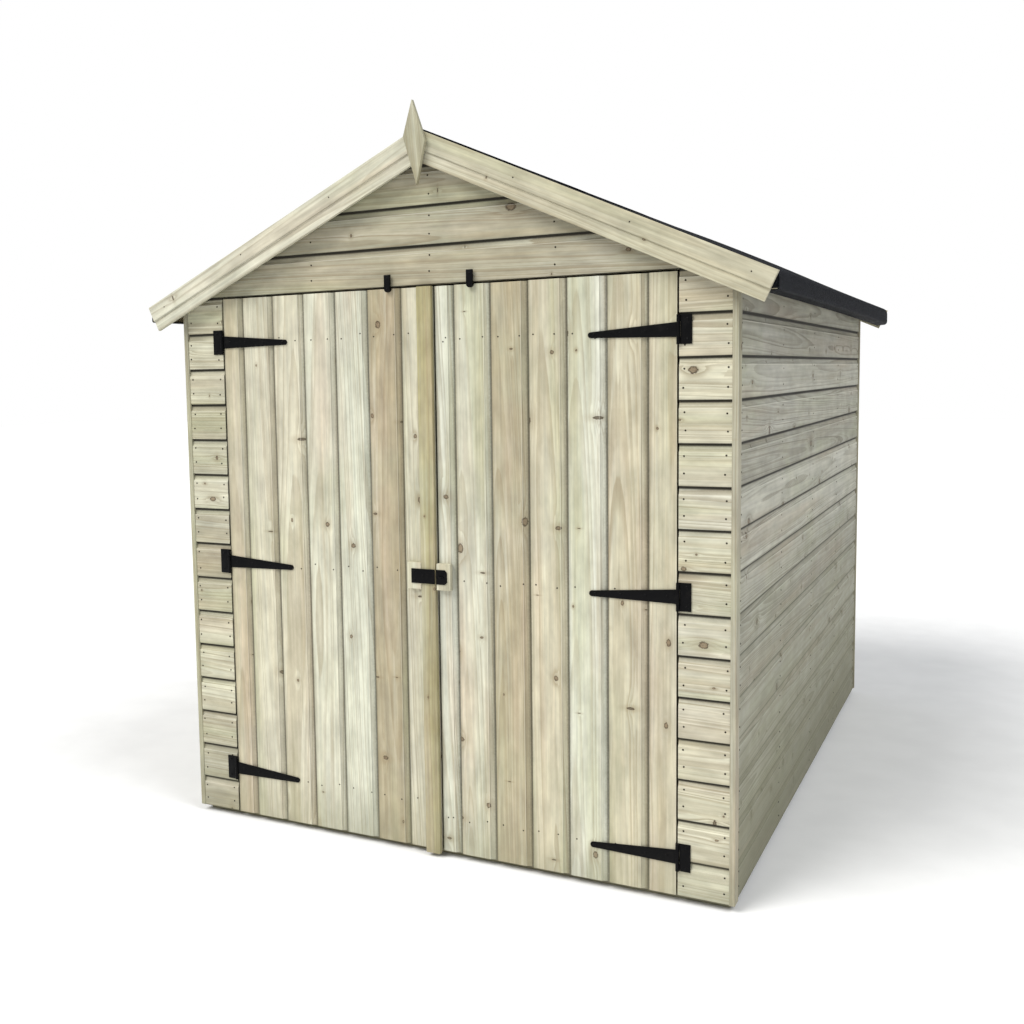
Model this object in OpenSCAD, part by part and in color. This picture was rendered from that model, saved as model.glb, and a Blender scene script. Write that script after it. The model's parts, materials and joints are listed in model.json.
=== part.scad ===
// Timber garden shed with a pitched felt roof and ledged double doors.
// Millimetres, +Z up, +X to the right when facing the doors, doors on the -Y side.
// The origin is on the ground, under the middle of the shed.

/* [Overall] */
// Width over the corner trims
shed_w = 1800; // [1500:10:2400]
// Depth over the cladding, front face to back corner trims
shed_d = 2452; // [1800:10:3600]
// Height of the roof boards' underside over the side walls, above the door head
corner_rise = 18; // [10:1:120]
// Slope of the roof in degrees
pitch = 24.7; // [20:0.1:30]

/* [Base] */
// Height of the floor bearers
bearer_h = 50; // [40:1:75]
// Width of one floor bearer
bearer_w = 45; // [35:1:75]
// Number of floor bearers
bearer_count = 7; // [5:2:11]
// Thickness of the floor boards
floor_t = 16; // [12:1:22]
// Distance from the ground to the bottom of the cladding
clad_lift = 20; // [10:1:30]

/* [Walls] */
// Thickness of the cladding boards
clad_t = 12; // [10:1:20]
// Height of the lowest cladding board
first_course = 103; // [90:1:130]
// Height that one cladding board shows
course_h = 115; // [100:1:125]
// Courses from the lowest board up to the door head
door_courses = 14; // [12:1:15]
// Framing thickness, through the wall
frame_t = 28; // [22:1:45]
// Framing width, along the wall
frame_w = 44; // [34:1:60]
// Studs in each side wall
side_stud_count = 5; // [4:1:8]
// Studs in the back wall
back_stud_count = 4; // [3:1:6]

/* [Corner trims] */
// Thickness of a corner trim
trim_t = 16; // [12:1:22]
// Width of a back corner trim
trim_w = 40; // [36:1:60]
// How far a front trim stands in front of the cladding
trim_proud = 2; // [1:0.5:4]

/* [Roof] */
// How far the roof boards reach past the corner trims at the eaves
eaves_over = 102; // [90:1:200]
// How far the side eaves of the roof boards reach in front of and behind the walls
verge_over = 34; // [30:1:60]
// Thickness of the roof boards
deck_t = 12; // [9:1:20]
// Thickness of the roofing felt
felt_t = 3; // [2:0.5:4]
// Height of the felt turned down over the eaves
felt_drop = 46; // [35:1:70]
// Width of the ridge felt strip on each slope
ridge_felt_w = 300; // [150:10:450]
// Thickness of the eaves battens
eaves_batten_t = 16; // [12:1:28]
// Depth of the verge battens under the roof boards
verge_batten_h = 28; // [20:1:45]
// Width of a purlin along the slope
purlin_w = 38; // [28:1:50]
// Depth of a purlin under the roof boards
purlin_h = 50; // [38:1:70]
// Distance of a purlin from the ridge, along the slope
purlin_s = 500; // [350:10:600]
// Thickness of the ridge beam
ridge_beam_t = 28; // [22:1:45]
// Depth of the ridge beam
ridge_beam_h = 70; // [50:1:95]

/* [Barge boards and finial] */
// Width of a barge board across the slope
barge_w = 84; // [70:1:110]
// Thickness of a barge board
barge_t = 16; // [12:1:22]
// Height that the roof boards stand above the barge boards, below zero where they lie lower
barge_drop = -2; // [-6:1:8]
// Length that a barge board reaches past the edge of the roof boards
barge_past = 3.5; // [3:0.5:10]
// Width of the lower ledge of the moulded face
barge_ledge_w = 32; // [20:1:40]
// Depth of the step above the lower ledge
barge_step = 5; // [3:0.5:8]
// Width of the finial
finial_w = 70; // [50:1:100]
// Height of the finial above its widest line
finial_up = 109; // [80:1:140]
// Height of the finial below its widest line
finial_down = 131; // [90:1:160]
// Thickness of the finial
finial_t = 14; // [10:1:20]
// Distance from the ridge of the barge boards down to the widest line
finial_seat = 31; // [10:1:60]
// Lean of the finial to the left, in degrees
finial_lean = 2.5; // [0:0.5:5]
// How much higher the finial's left corner lies than its right corner
finial_skew = 16; // [0:1:20]

/* [Doors] */
// Width of the door opening
opening_w = 1488; // [1200:1:1600]
// Clearance round each door leaf
door_gap = 5; // [5:0.5:8]
// Distance of the meeting line from the middle of the opening
meeting_x = 22.5; // [0:0.5:40]
// Thickness of the door boards
door_t = 12; // [10:1:20]
// Width of a ledge on the inside of a door
ledge_w = 80; // [60:1:100]
// Thickness of a ledge
ledge_t = 28; // [18:1:35]
// Distance from a door's edge to the end of its ledges
ledge_inset = 40; // [35:1:60]
// Width of the cover strip on the left door's edge
strip_w = 47; // [30:1:60]
// Thickness of the cover strip
strip_t = 16; // [10:1:20]
// Length that the cover strip hangs below the door
strip_low = 8; // [0:1:12]

/* [T hinges] */
// Distance of the left door's lowest hinge above its foot
left_hinge_foot = 150; // [100:1:250]
// Distance of the left door's middle hinge above its mid height
left_hinge_mid = -2; // [-60:1:60]
// Distance of the left door's highest hinge below its top
left_hinge_head = 139; // [100:1:250]
// Distance of the right door's lowest hinge above its foot
right_hinge_foot = 112; // [100:1:250]
// Distance of the right door's middle hinge above its mid height
right_hinge_mid = -15; // [-60:1:60]
// Distance of the right door's highest hinge below its top
right_hinge_head = 153; // [100:1:250]
// Height of a hinge's fixed plate
plate_h = 78; // [60:1:100]
// Width of a hinge's fixed plate
plate_w = 30; // [22:1:40]
// Thickness of the hinge metal
hinge_t = 3; // [2:0.5:4]
// Length of a hinge strap from the pin to its tip
strap_len = 250; // [150:5:300]
// Height of a strap beside the pin
strap_h = 40; // [30:1:45]
// Height of a strap at its tip
strap_tip_h = 16; // [12:1:30]
// Distance of a strap's tip below the middle of its knuckle
strap_fall = 7; // [0:1:10]
// Outer radius of the knuckles
knuckle_r = 5; // [4.5:0.5:7]
// Radius of the hinge pin
pin_r = 2.5; // [2:0.1:3]

/* [Latch and catches] */
// Height of the middle of the latch above ground
latch_z = 870; // [800:1:1000]
// Height of the latch plates
latch_h = 44; // [30:1:50]
// Thickness of the latch plates
latch_t = 3; // [2:0.5:4]
// Length of the latch plate on the left door
latch_left_len = 78; // [60:1:90]
// Length of the keeper plate on the right door
latch_right_len = 35; // [28:1:45]
// Size of the chamfers on the keeper plate
latch_chamfer = 7; // [3:1:10]
// Height of the timber blocks under the latch
block_h = 80; // [60:1:100]
// Width of the timber blocks under the latch
block_w = 45; // [38:1:60]
// Thickness of the timber blocks under the latch
block_t = 18; // [16:1:25]
// Distance of the left catch from the middle
catch_left_x = 126; // [80:1:300]
// Distance of the right catch from the middle
catch_right_x = 143; // [80:1:300]
// Width of a catch
catch_w = 20; // [14:1:30]
// Length of a catch below the top of the door
catch_foot = 11; // [8:1:20]
// Length of a catch above the top of the door
catch_head = 40; // [30:1:50]
// Thickness of a catch in front of its stand-off
catch_t = 7; // [5:1:10]

/* [Hidden] */
$fn = 48;

// Colours
softwood = [0.79, 0.75, 0.62];
greyed_wood = [0.68, 0.66, 0.56];
planed_wood = [0.84, 0.78, 0.62];
roof_felt = [0.12, 0.13, 0.15];
black_iron = [0.05, 0.05, 0.055];

// Wall planes
front_y = -shed_d / 2;
front_back_y = front_y + clad_t;
front_in_y = front_back_y + frame_t;
back_y = shed_d / 2;
back_clad_y = back_y - trim_t;
back_frame_y = back_clad_y - clad_t;
back_in_y = back_frame_y - frame_t;
trim_x = shed_w / 2;
wall_x = trim_x - trim_t;
side_out_x = wall_x + clad_t;
side_in_x = wall_x - frame_t;

// Heights
floor_top = bearer_h + floor_t;
head_z = clad_lift + first_course + door_courses * course_h;
leaf_top = head_z - door_gap;
leaf_mid = (clad_lift + leaf_top) / 2;
left_hinge_z = [clad_lift + left_hinge_foot, leaf_mid + left_hinge_mid, leaf_top - left_hinge_head];
right_hinge_z = [clad_lift + right_hinge_foot, leaf_mid + right_hinge_mid, leaf_top - right_hinge_head];

// Roof lines at distance x from the middle. What carries the roof boards ends a seat below them.
seat = 0.05;
rise = tan(pitch);
plumb = 1 / cos(pitch);
eaves_x = trim_x + eaves_over;
ridge_h = head_z + corner_rise + rise * wall_x + (deck_t + seat) * plumb;
function deck_top(x) = ridge_h - rise * x;
function deck_low(x) = deck_top(x) - (deck_t + seat) * plumb;
function rafter_low(x) = deck_low(x) - frame_w * plumb;

// Roof planes
verge_y = shed_d / 2 + verge_over;
barge_top = ridge_h - barge_drop * plumb;
barge_len = (eaves_x + barge_past) * plumb;
finial_z = barge_top - finial_seat;

// Door planes and edges
opening_x = opening_w / 2;
left_hinge_x = -opening_x;
right_hinge_x = opening_x;
left_leaf_x = -opening_x + door_gap;
left_leaf_end = meeting_x - door_gap / 2;
right_leaf_x = meeting_x + door_gap / 2;
right_leaf_end = opening_x - door_gap;
ledge_y = front_y + door_t;
hinge_y = front_y - knuckle_r;
knuckle_gap = 0.5;
pin_play = 0.05;
apex_gap = 0.5;
sill_gap = 6;
floor_front_y = ledge_y + sill_gap;
base_gap = 4;
verge_play = 4;
bend_lap = 1;
staple_r = 8;
staple_wire = 2.5;
latch_y = front_y - block_t;
bevel = 1;

// A box from its lowest to its highest corner
module span(a, b) {
  translate(a)
    cube(b - a);
}

// An outline in the XZ plane, carried along Y from y0 to y1
module along_y(y0, y1, outline) {
  translate([0, y1, 0])
    rotate([90, 0, 0])
      linear_extrude(y1 - y0)
        polygon(outline);
}

// A piece and its mirror image in the YZ plane
module both_sides() {
  children();
  mirror([1, 0, 0])
    children();
}

// Outline of the boards over the whole gable, from height z up to the roof
function gable_outline(x, z) = [
  [-x, z], [x, z], [x, deck_low(x)], [0, deck_low(0)], [-x, deck_low(x)]
];

// ---- base ----

module floor_bearers() {
  end_x = wall_x - base_gap;
  run = 2 * (back_frame_y - base_gap) - bearer_w;
  pitch_y = run / (bearer_count - 1);
  color(greyed_wood)
    for (i = [0 : bearer_count - 1]) {
      y = -run / 2 + i * pitch_y;
      span([-end_x, y - bearer_w / 2, 0], [end_x, y + bearer_w / 2, bearer_h]);
    }
}

module floor() {
  color(softwood)
    span([-wall_x, floor_front_y, bearer_h], [wall_x, back_frame_y, floor_top]);
}

// ---- walls ----

module front_side_panel() {
  color(softwood)
    span([opening_x, front_y, clad_lift], [wall_x, front_back_y, head_z]);
}

module front_wall_left() {
  mirror([1, 0, 0])
    front_side_panel();
}

module front_wall_right() {
  front_side_panel();
}

module front_gable() {
  color(softwood)
    along_y(front_y, front_back_y, gable_outline(wall_x, head_z));
}

module side_wall() {
  color(greyed_wood)
    along_y(front_in_y, back_clad_y, [
      [wall_x, clad_lift], [side_out_x, clad_lift],
      [side_out_x, deck_low(side_out_x)], [wall_x, deck_low(wall_x)]
    ]);
}

module left_wall() {
  mirror([1, 0, 0])
    side_wall();
}

module right_wall() {
  side_wall();
}

module back_wall() {
  color(greyed_wood)
    along_y(back_frame_y, back_clad_y, gable_outline(wall_x, clad_lift));
}

// ---- framing ----

module front_posts() {
  color(greyed_wood) {
    both_sides() {
      span([opening_x, front_back_y, floor_top], [opening_x + frame_w, front_in_y, head_z]);
      along_y(front_back_y, front_in_y, [
        [wall_x - frame_w, floor_top], [wall_x, floor_top],
        [wall_x, rafter_low(wall_x)], [wall_x - frame_w, rafter_low(wall_x - frame_w)]
      ]);
    }
    king_post(front_back_y, front_in_y, head_z + frame_w);
  }
}

// Upright under the ridge, from height z to the gable rafters
module king_post(y0, y1, z) {
  half = frame_w / 2;
  along_y(y0, y1, [
    [-half, z], [half, z], [half, rafter_low(half)],
    [0, rafter_low(0)], [-half, rafter_low(half)]
  ]);
}

module front_lintel() {
  x_end = opening_x + frame_w;
  x_top = (rafter_low(0) - head_z - frame_w) / rise;
  color(greyed_wood)
    along_y(front_back_y, front_in_y, [
      [-x_end, head_z], [x_end, head_z], [x_end, rafter_low(x_end)],
      [x_top, head_z + frame_w], [-x_top, head_z + frame_w], [-x_end, rafter_low(x_end)]
    ]);
}

// Pair of sloping top rails of a gable frame, reaching x from the middle
module rafter_pair(y0, y1, x) {
  color(greyed_wood)
    both_sides()
      along_y(y0, y1, [
        [apex_gap, rafter_low(apex_gap)], [x, rafter_low(x)],
        [x, deck_low(x)], [apex_gap, deck_low(apex_gap)]
      ]);
}

module front_rafters() {
  rafter_pair(front_back_y, front_in_y, wall_x);
}

module back_rafters() {
  rafter_pair(back_in_y, back_frame_y, side_in_x);
}

module side_studs() {
  first = front_in_y;
  last = back_frame_y - frame_w;
  step = (last - first) / (side_stud_count - 1);
  color(greyed_wood)
    both_sides()
      for (i = [0 : side_stud_count - 1])
        span([side_in_x, first + i * step, floor_top + frame_w],
             [wall_x, first + i * step + frame_w, deck_low(wall_x) - frame_w]);
}

module side_rails() {
  color(greyed_wood)
    both_sides() {
      span([side_in_x, front_in_y, floor_top], [wall_x, back_frame_y, floor_top + frame_w]);
      along_y(front_in_y, back_frame_y, [
        [side_in_x, deck_low(wall_x) - frame_w], [wall_x, deck_low(wall_x) - frame_w],
        [wall_x, deck_low(wall_x)], [side_in_x, deck_low(side_in_x)]
      ]);
    }
}

module back_studs() {
  step = (2 * side_in_x - frame_w) / (back_stud_count - 1);
  low = floor_top + frame_w;
  high = head_z - 2 * frame_w;
  color(greyed_wood) {
    for (i = [0 : back_stud_count - 1])
      span([-side_in_x + i * step, back_in_y, low],
           [-side_in_x + i * step + frame_w, back_frame_y, high]);
    king_post(back_in_y, back_frame_y, high + frame_w);
  }
}

module back_rails() {
  high = head_z - 2 * frame_w;
  color(greyed_wood) {
    span([-side_in_x, back_in_y, floor_top], [side_in_x, back_frame_y, floor_top + frame_w]);
    span([-side_in_x, back_in_y, high], [side_in_x, back_frame_y, high + frame_w]);
  }
}

// ---- corner trims ----

module front_trims() {
  color(planed_wood)
    both_sides()
      along_y(front_y - trim_proud, front_in_y, [
        [wall_x, clad_lift], [trim_x, clad_lift],
        [trim_x, deck_low(trim_x)], [wall_x, deck_low(wall_x)]
      ]);
}

module back_trims() {
  x = trim_x - trim_w;
  color(greyed_wood)
    both_sides()
      along_y(back_clad_y, back_y, [
        [x, clad_lift], [trim_x, clad_lift], [trim_x, deck_low(trim_x)], [x, deck_low(x)]
      ]);
}

// ---- roof ----

module roof_slope() {
  color(greyed_wood)
    along_y(-verge_y, verge_y, [
      [0, deck_top(0)], [0, deck_top(0) - deck_t * plumb],
      [eaves_x, deck_top(eaves_x) - deck_t * plumb], [eaves_x, deck_top(eaves_x)]
    ]);
}

module roof_left() {
  mirror([1, 0, 0])
    roof_slope();
}

module roof_right() {
  roof_slope();
}

// One sheet of felt: over the slope and turned down the eaves
module felt_slope() {
  lift = felt_t * plumb;
  outer = eaves_x + felt_t;
  low = deck_top(eaves_x) - felt_drop;
  color(roof_felt)
    along_y(-verge_y, verge_y, [
      [0, deck_top(0)], [eaves_x, deck_top(eaves_x)], [eaves_x, low], [outer, low],
      [outer, deck_top(outer) + lift], [0, deck_top(0) + lift]
    ]);
}

module felt_left() {
  mirror([1, 0, 0])
    felt_slope();
}

module felt_right() {
  felt_slope();
}

module felt_ridge() {
  lift = felt_t * plumb;
  x = ridge_felt_w / plumb;
  color(roof_felt)
    along_y(-verge_y, verge_y, [
      [0, deck_top(0) + lift], [x, deck_top(x) + lift], [x, deck_top(x) + 2 * lift],
      [0, deck_top(0) + 2 * lift], [-x, deck_top(x) + 2 * lift], [-x, deck_top(x) + lift]
    ]);
}

module roof_beams() {
  half = ridge_beam_t / 2;
  foot = deck_low(0) - ridge_beam_h;
  color(greyed_wood) {
    along_y(front_in_y, back_in_y, [
      [-half, foot], [half, foot], [half, deck_low(half)], [0, deck_low(0)], [-half, deck_low(half)]
    ]);
    both_sides()
      translate([0, 0, ridge_h])
        rotate([0, pitch, 0])
          span([purlin_s, front_in_y, -deck_t - seat - purlin_h],
               [purlin_s + purlin_w, back_in_y, -deck_t - seat]);
  }
}

module eaves_battens() {
  x = eaves_x - eaves_batten_t;
  low = deck_top(eaves_x) - felt_drop;
  color(greyed_wood)
    both_sides()
      along_y(-verge_y, verge_y, [
        [x, low], [eaves_x, low], [eaves_x, deck_low(eaves_x)], [x, deck_low(x)]
      ]);
}

module verge_battens() {
  x = eaves_x - eaves_batten_t;
  drop = verge_batten_h * plumb;
  depth = verge_over - trim_proud - verge_play;
  color(greyed_wood)
    both_sides()
      for (y = [-verge_y, verge_y - depth])
        along_y(y, y + depth, [
          [apex_gap, deck_low(apex_gap) - drop], [x, deck_low(x) - drop],
          [x, deck_low(x)], [apex_gap, deck_low(apex_gap)]
        ]);
}

// Section of a barge board: flat face, hollow step and a lower ledge.
// X is distance from its back face towards the viewer, Y is height across the slope.
function barge_section() =
  let (step_top = -barge_w + barge_ledge_w, r = barge_step)
  concat(
    [[0, 0], [0, -barge_w], [-(barge_t - r - bevel), -barge_w], [-(barge_t - r), -barge_w + bevel]],
    [[-(barge_t - r), step_top]],
    [for (a = [15 : 15 : 90]) [-(barge_t - r * (1 - sin(a))), step_top + r * (1 - cos(a))]],
    [[-barge_t, -bevel], [-(barge_t - bevel), 0]]
  );

module barge() {
  difference() {
    translate([0, 0, barge_top])
      rotate([0, pitch, 0])
        translate([-barge_w, 0, 0])
          rotate([90, 0, 90])
            linear_extrude(barge_len + barge_w)
              polygon(barge_section());
    span([-2 * barge_w, -2 * barge_t, barge_top - 3 * barge_w], [apex_gap, barge_t, barge_top + barge_w]);
  }
}

module barge_pair() {
  color(planed_wood)
    both_sides()
      translate([0, -verge_y, 0])
        barge();
}

module front_barges() {
  barge_pair();
}

module back_barges() {
  mirror([0, 1, 0])
    barge_pair();
}

module front_finial() {
  half = finial_w / 2;
  face_y = -verge_y - barge_t;
  color(planed_wood)
    along_y(face_y - finial_t, face_y, [
      [finial_down * tan(finial_lean), finial_z - finial_down], [half, finial_z - finial_skew / 2],
      [-finial_up * tan(finial_lean), finial_z + finial_up], [-half, finial_z + finial_skew / 2]
    ]);
}

// ---- doors ----

module left_door() {
  color(softwood)
    span([left_leaf_x, front_y, clad_lift], [left_leaf_end, front_y + door_t, leaf_top]);
}

module right_door() {
  color(softwood)
    span([right_leaf_x, front_y, clad_lift], [right_leaf_end, front_y + door_t, leaf_top]);
}

// Three ledges between x0 and x1, level with the hinges
module door_ledges(x0, x1, heights) {
  color(greyed_wood)
    for (z = heights)
      span([x0 + ledge_inset, ledge_y, z - ledge_w / 2], [x1 - ledge_inset, ledge_y + ledge_t, z + ledge_w / 2]);
}

module left_door_ledges() {
  door_ledges(left_leaf_x, left_leaf_end, left_hinge_z);
}

module right_door_ledges() {
  door_ledges(right_leaf_x, right_leaf_end, right_hinge_z);
}

module cover_strip() {
  color(planed_wood)
    span([left_leaf_end - strip_w, front_y - strip_t, clad_lift - strip_low],
         [left_leaf_end, front_y, leaf_top]);
}

// ---- T hinges, drawn about the pin at the origin with the strap along +X ----

// Fixed plate on the wall, its two outer knuckles and the pin
module hinge_plate() {
  outer_h = (plate_h - strap_h) / 2 - knuckle_gap;
  color(black_iron) {
    translate([-knuckle_r - knuckle_gap - plate_w, knuckle_r - hinge_t, -plate_h / 2])
      cube([plate_w, hinge_t, plate_h]);
    for (z = [-plate_h / 2, plate_h / 2 - outer_h]) {
      translate([-knuckle_r - knuckle_gap - bend_lap, knuckle_r - hinge_t, z])
        cube([knuckle_r + knuckle_gap + bend_lap, hinge_t, outer_h]);
      translate([0, 0, z])
        cylinder(h = outer_h, r = knuckle_r);
    }
    translate([0, 0, -plate_h / 2])
      cylinder(h = plate_h, r = pin_r);
  }
}

// Strap with its middle knuckle, bored for the pin, and its tip at height z
module hinge_strap(z) {
  tip_x = strap_len - strap_tip_h / 2;
  color(black_iron)
    difference() {
      union() {
        translate([0, 0, -strap_h / 2])
          cylinder(h = strap_h, r = knuckle_r);
        translate([0, knuckle_r, 0])
          rotate([90, 0, 0])
            linear_extrude(hinge_t)
              union() {
                polygon([
                  [0, -strap_h / 2], [tip_x, z - strap_tip_h / 2],
                  [tip_x, z + strap_tip_h / 2], [0, strap_h / 2]
                ]);
                translate([tip_x, z])
                  circle(r = strap_tip_h / 2);
              }
      }
      translate([0, 0, -strap_h])
        cylinder(h = 2 * strap_h, r = pin_r + pin_play);
    }
}

module left_hinge_plates() {
  for (z = left_hinge_z)
    translate([left_hinge_x, hinge_y, z])
      hinge_plate();
}

module left_hinge_straps() {
  for (z = left_hinge_z)
    translate([left_hinge_x, hinge_y, z])
      hinge_strap(-strap_fall);
}

module right_hinge_plates() {
  for (z = right_hinge_z)
    translate([right_hinge_x, hinge_y, z])
      rotate([0, 180, 0])
        hinge_plate();
}

module right_hinge_straps() {
  for (z = right_hinge_z)
    translate([right_hinge_x, hinge_y, z])
      rotate([0, 180, 0])
        hinge_strap(strap_fall);
}

// ---- latch and catches ----

module latch_block_left() {
  x = left_leaf_end - strip_w;
  color(planed_wood)
    span([x - block_w, latch_y, latch_z - block_h / 2], [x, front_y, latch_z + block_h / 2]);
}

module latch_block_right() {
  color(planed_wood)
    span([right_leaf_x, latch_y, latch_z - block_h / 2],
         [right_leaf_x + block_w, front_y, latch_z + block_h / 2]);
}

module latch_plate() {
  color(black_iron)
    span([left_leaf_end - latch_left_len, latch_y - latch_t, latch_z - latch_h / 2],
         [left_leaf_end, latch_y, latch_z + latch_h / 2]);
}

// Keeper plate with two chamfered corners and a half-round staple
module latch_keeper() {
  c = latch_chamfer;
  x0 = right_leaf_x;
  x1 = right_leaf_x + latch_right_len;
  low = latch_z - latch_h / 2;
  high = latch_z + latch_h / 2;
  color(black_iron) {
    along_y(latch_y - latch_t, latch_y, [
      [x0, low], [x1 - c, low], [x1, low + c], [x1, high - c], [x1 - c, high], [x0, high]
    ]);
    translate([(x0 + x1) / 2, latch_y - latch_t / 2, latch_z])
      rotate([180, 0, 0])
        rotate_extrude(angle = 180)
          translate([staple_r, 0])
            circle(r = staple_wire);
  }
}

// Outline of a catch below height top, with a round lower end
module catch_outline(top) {
  r = catch_w / 2;
  low = leaf_top - catch_foot;
  translate([-r, low + r])
    square([catch_w, top - low - r]);
  translate([0, low + r])
    circle(r);
}

// Catch screwed to the door head, lapping in front of the gable boards
module catch(x) {
  color(black_iron)
    translate([x, front_y, 0])
      rotate([90, 0, 0]) {
        linear_extrude(door_gap + catch_t)
          intersection() {
            catch_outline(leaf_top + catch_head);
            translate([-catch_w, 0])
              square([2 * catch_w, leaf_top]);
          }
        translate([0, 0, door_gap])
          linear_extrude(catch_t)
            catch_outline(leaf_top + catch_head);
      }
}

module left_catch() {
  catch(-catch_left_x);
}

module right_catch() {
  catch(catch_right_x);
}

floor_bearers();
floor();
front_wall_left();
front_wall_right();
front_gable();
left_wall();
right_wall();
back_wall();
front_posts();
front_lintel();
front_rafters();
side_studs();
side_rails();
back_studs();
back_rails();
back_rafters();
front_trims();
back_trims();
roof_left();
roof_right();
felt_left();
felt_right();
felt_ridge();
roof_beams();
eaves_battens();
verge_battens();
front_barges();
back_barges();
front_finial();
left_door();
left_door_ledges();
left_hinge_plates();
left_hinge_straps();
cover_strip();
left_catch();
latch_block_left();
latch_plate();
right_door();
right_door_ledges();
right_hinge_plates();
right_hinge_straps();
right_catch();
latch_block_right();
latch_keeper();
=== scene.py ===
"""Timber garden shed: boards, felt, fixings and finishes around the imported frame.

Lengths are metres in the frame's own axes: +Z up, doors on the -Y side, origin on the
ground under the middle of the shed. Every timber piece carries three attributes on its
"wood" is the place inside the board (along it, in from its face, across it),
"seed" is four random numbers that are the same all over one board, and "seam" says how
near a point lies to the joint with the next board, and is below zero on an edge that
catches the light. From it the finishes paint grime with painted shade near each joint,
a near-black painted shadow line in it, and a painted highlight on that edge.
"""

import json
import logging
import math
from dataclasses import dataclass, field
from enum import Enum
from typing import Any, Callable

import bmesh
import bpy
import numpy as np
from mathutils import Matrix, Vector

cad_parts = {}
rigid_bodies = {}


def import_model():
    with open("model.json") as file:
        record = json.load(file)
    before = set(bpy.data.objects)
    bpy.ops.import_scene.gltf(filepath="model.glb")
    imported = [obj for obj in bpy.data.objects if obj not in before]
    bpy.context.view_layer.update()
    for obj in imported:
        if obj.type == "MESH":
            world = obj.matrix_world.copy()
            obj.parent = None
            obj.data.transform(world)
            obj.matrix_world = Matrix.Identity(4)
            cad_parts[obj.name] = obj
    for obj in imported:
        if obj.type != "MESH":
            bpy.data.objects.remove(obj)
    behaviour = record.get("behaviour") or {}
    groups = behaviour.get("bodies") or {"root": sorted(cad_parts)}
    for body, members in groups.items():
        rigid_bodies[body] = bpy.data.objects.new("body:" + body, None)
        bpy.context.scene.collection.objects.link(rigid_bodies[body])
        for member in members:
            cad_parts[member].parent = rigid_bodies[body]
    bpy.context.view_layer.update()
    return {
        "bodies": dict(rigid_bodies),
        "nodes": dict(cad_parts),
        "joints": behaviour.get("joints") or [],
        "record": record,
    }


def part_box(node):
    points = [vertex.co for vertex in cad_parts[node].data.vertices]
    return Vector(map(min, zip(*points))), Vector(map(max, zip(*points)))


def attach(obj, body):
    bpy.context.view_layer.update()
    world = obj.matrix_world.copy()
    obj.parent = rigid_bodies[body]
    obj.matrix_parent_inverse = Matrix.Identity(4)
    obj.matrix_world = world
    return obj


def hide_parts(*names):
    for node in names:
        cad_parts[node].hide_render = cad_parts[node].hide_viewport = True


LOG = logging.getLogger("shed")
Socket = Any
Signals = dict[str, Any]
Colour = tuple[float, float, float]
Direction = tuple[float, float, float]
Ends = Callable[[np.ndarray], tuple[np.ndarray, np.ndarray]]
Lift = Callable[[np.ndarray, np.ndarray], np.ndarray]
FORWARD: Direction = (0.0, -1.0, 0.0)
BACKWARD: Direction = (0.0, 1.0, 0.0)
SIDES = (("left", -1.0), ("right", 1.0))


# ---------------------------------------------------------------- shapes


@dataclass(frozen=True)
class Shape:
    """Points and faces of closed surfaces, with the three timber attributes."""

    points: np.ndarray
    faces: list
    wood: np.ndarray
    seed: np.ndarray
    seam: np.ndarray


def join(shapes: list[Shape]) -> Shape:
    """Puts several shapes into one.

    Args:
        shapes: The shapes, each with its own faces counted from 0.

    Returns:
        One shape, in which each later shape's face numbers are moved up by the points before it.
    """
    starts = np.cumsum([0] + [len(s.points) for s in shapes[:-1]])
    faces = [tuple(int(i) + int(k) for i in f) for s, k in zip(shapes, starts) for f in s.faces]
    return Shape(
        np.concatenate([s.points for s in shapes]),
        faces,
        np.concatenate([s.wood for s in shapes]),
        np.concatenate([s.seed for s in shapes]),
        np.concatenate([s.seam for s in shapes]),
    )


def closed_tube(sections: np.ndarray) -> list:
    """Faces of a tube of closed rings with a flat cap at each end, facing outwards.

    The tube's volume is the sum of the tetrahedra from the first point to each triangle.
    Where it comes out negative, every face is turned round.

    Args:
        sections: Array (rings, points of a ring, 3).

    Returns:
        The faces as tuples of point numbers.
    """
    m, n = sections.shape[:2]
    points = sections.reshape(-1, 3) - sections[0, 0]
    low = (np.arange(m - 1) * n)[:, None]
    here, after = np.arange(n)[None, :], (np.arange(n)[None, :] + 1) % n
    quads = np.stack([low + here, low + after, low + n + after, low + n + here], -1).reshape(-1, 4)
    start, end = np.arange(n)[::-1], (m - 1) * n + np.arange(n)
    fans = [np.stack([np.full(n - 2, c[0]), c[1:-1], c[2:]], -1) for c in (start, end)]
    triangles = np.concatenate([quads[:, [0, 1, 2]], quads[:, [0, 2, 3]], *fans])
    a, b, c = (points[triangles[:, k]] for k in range(3))
    turn = -1 if np.einsum("ij,ij->", a, np.cross(b, c)) < 0 else 1
    return [tuple(f[::turn]) for f in quads.tolist()] + [tuple(start[::turn]), tuple(end[::turn])]


@dataclass(frozen=True)
class Place:
    """Where a board lies: a corner, and its directions along, in from the face and across."""

    corner: tuple[float, float, float]
    along: Direction
    inward: Direction
    across: Direction


@dataclass(frozen=True)
class Profile:
    """Closed outline of a board's section: depth from its face, distance across, nearness to a seam."""

    depth: np.ndarray
    across: np.ndarray
    seam: np.ndarray

    def clipped(self, limit: float) -> "Profile":
        """The outline with everything past a distance across laid onto that line."""
        return Profile(self.depth, np.minimum(self.across, limit), self.seam)


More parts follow.
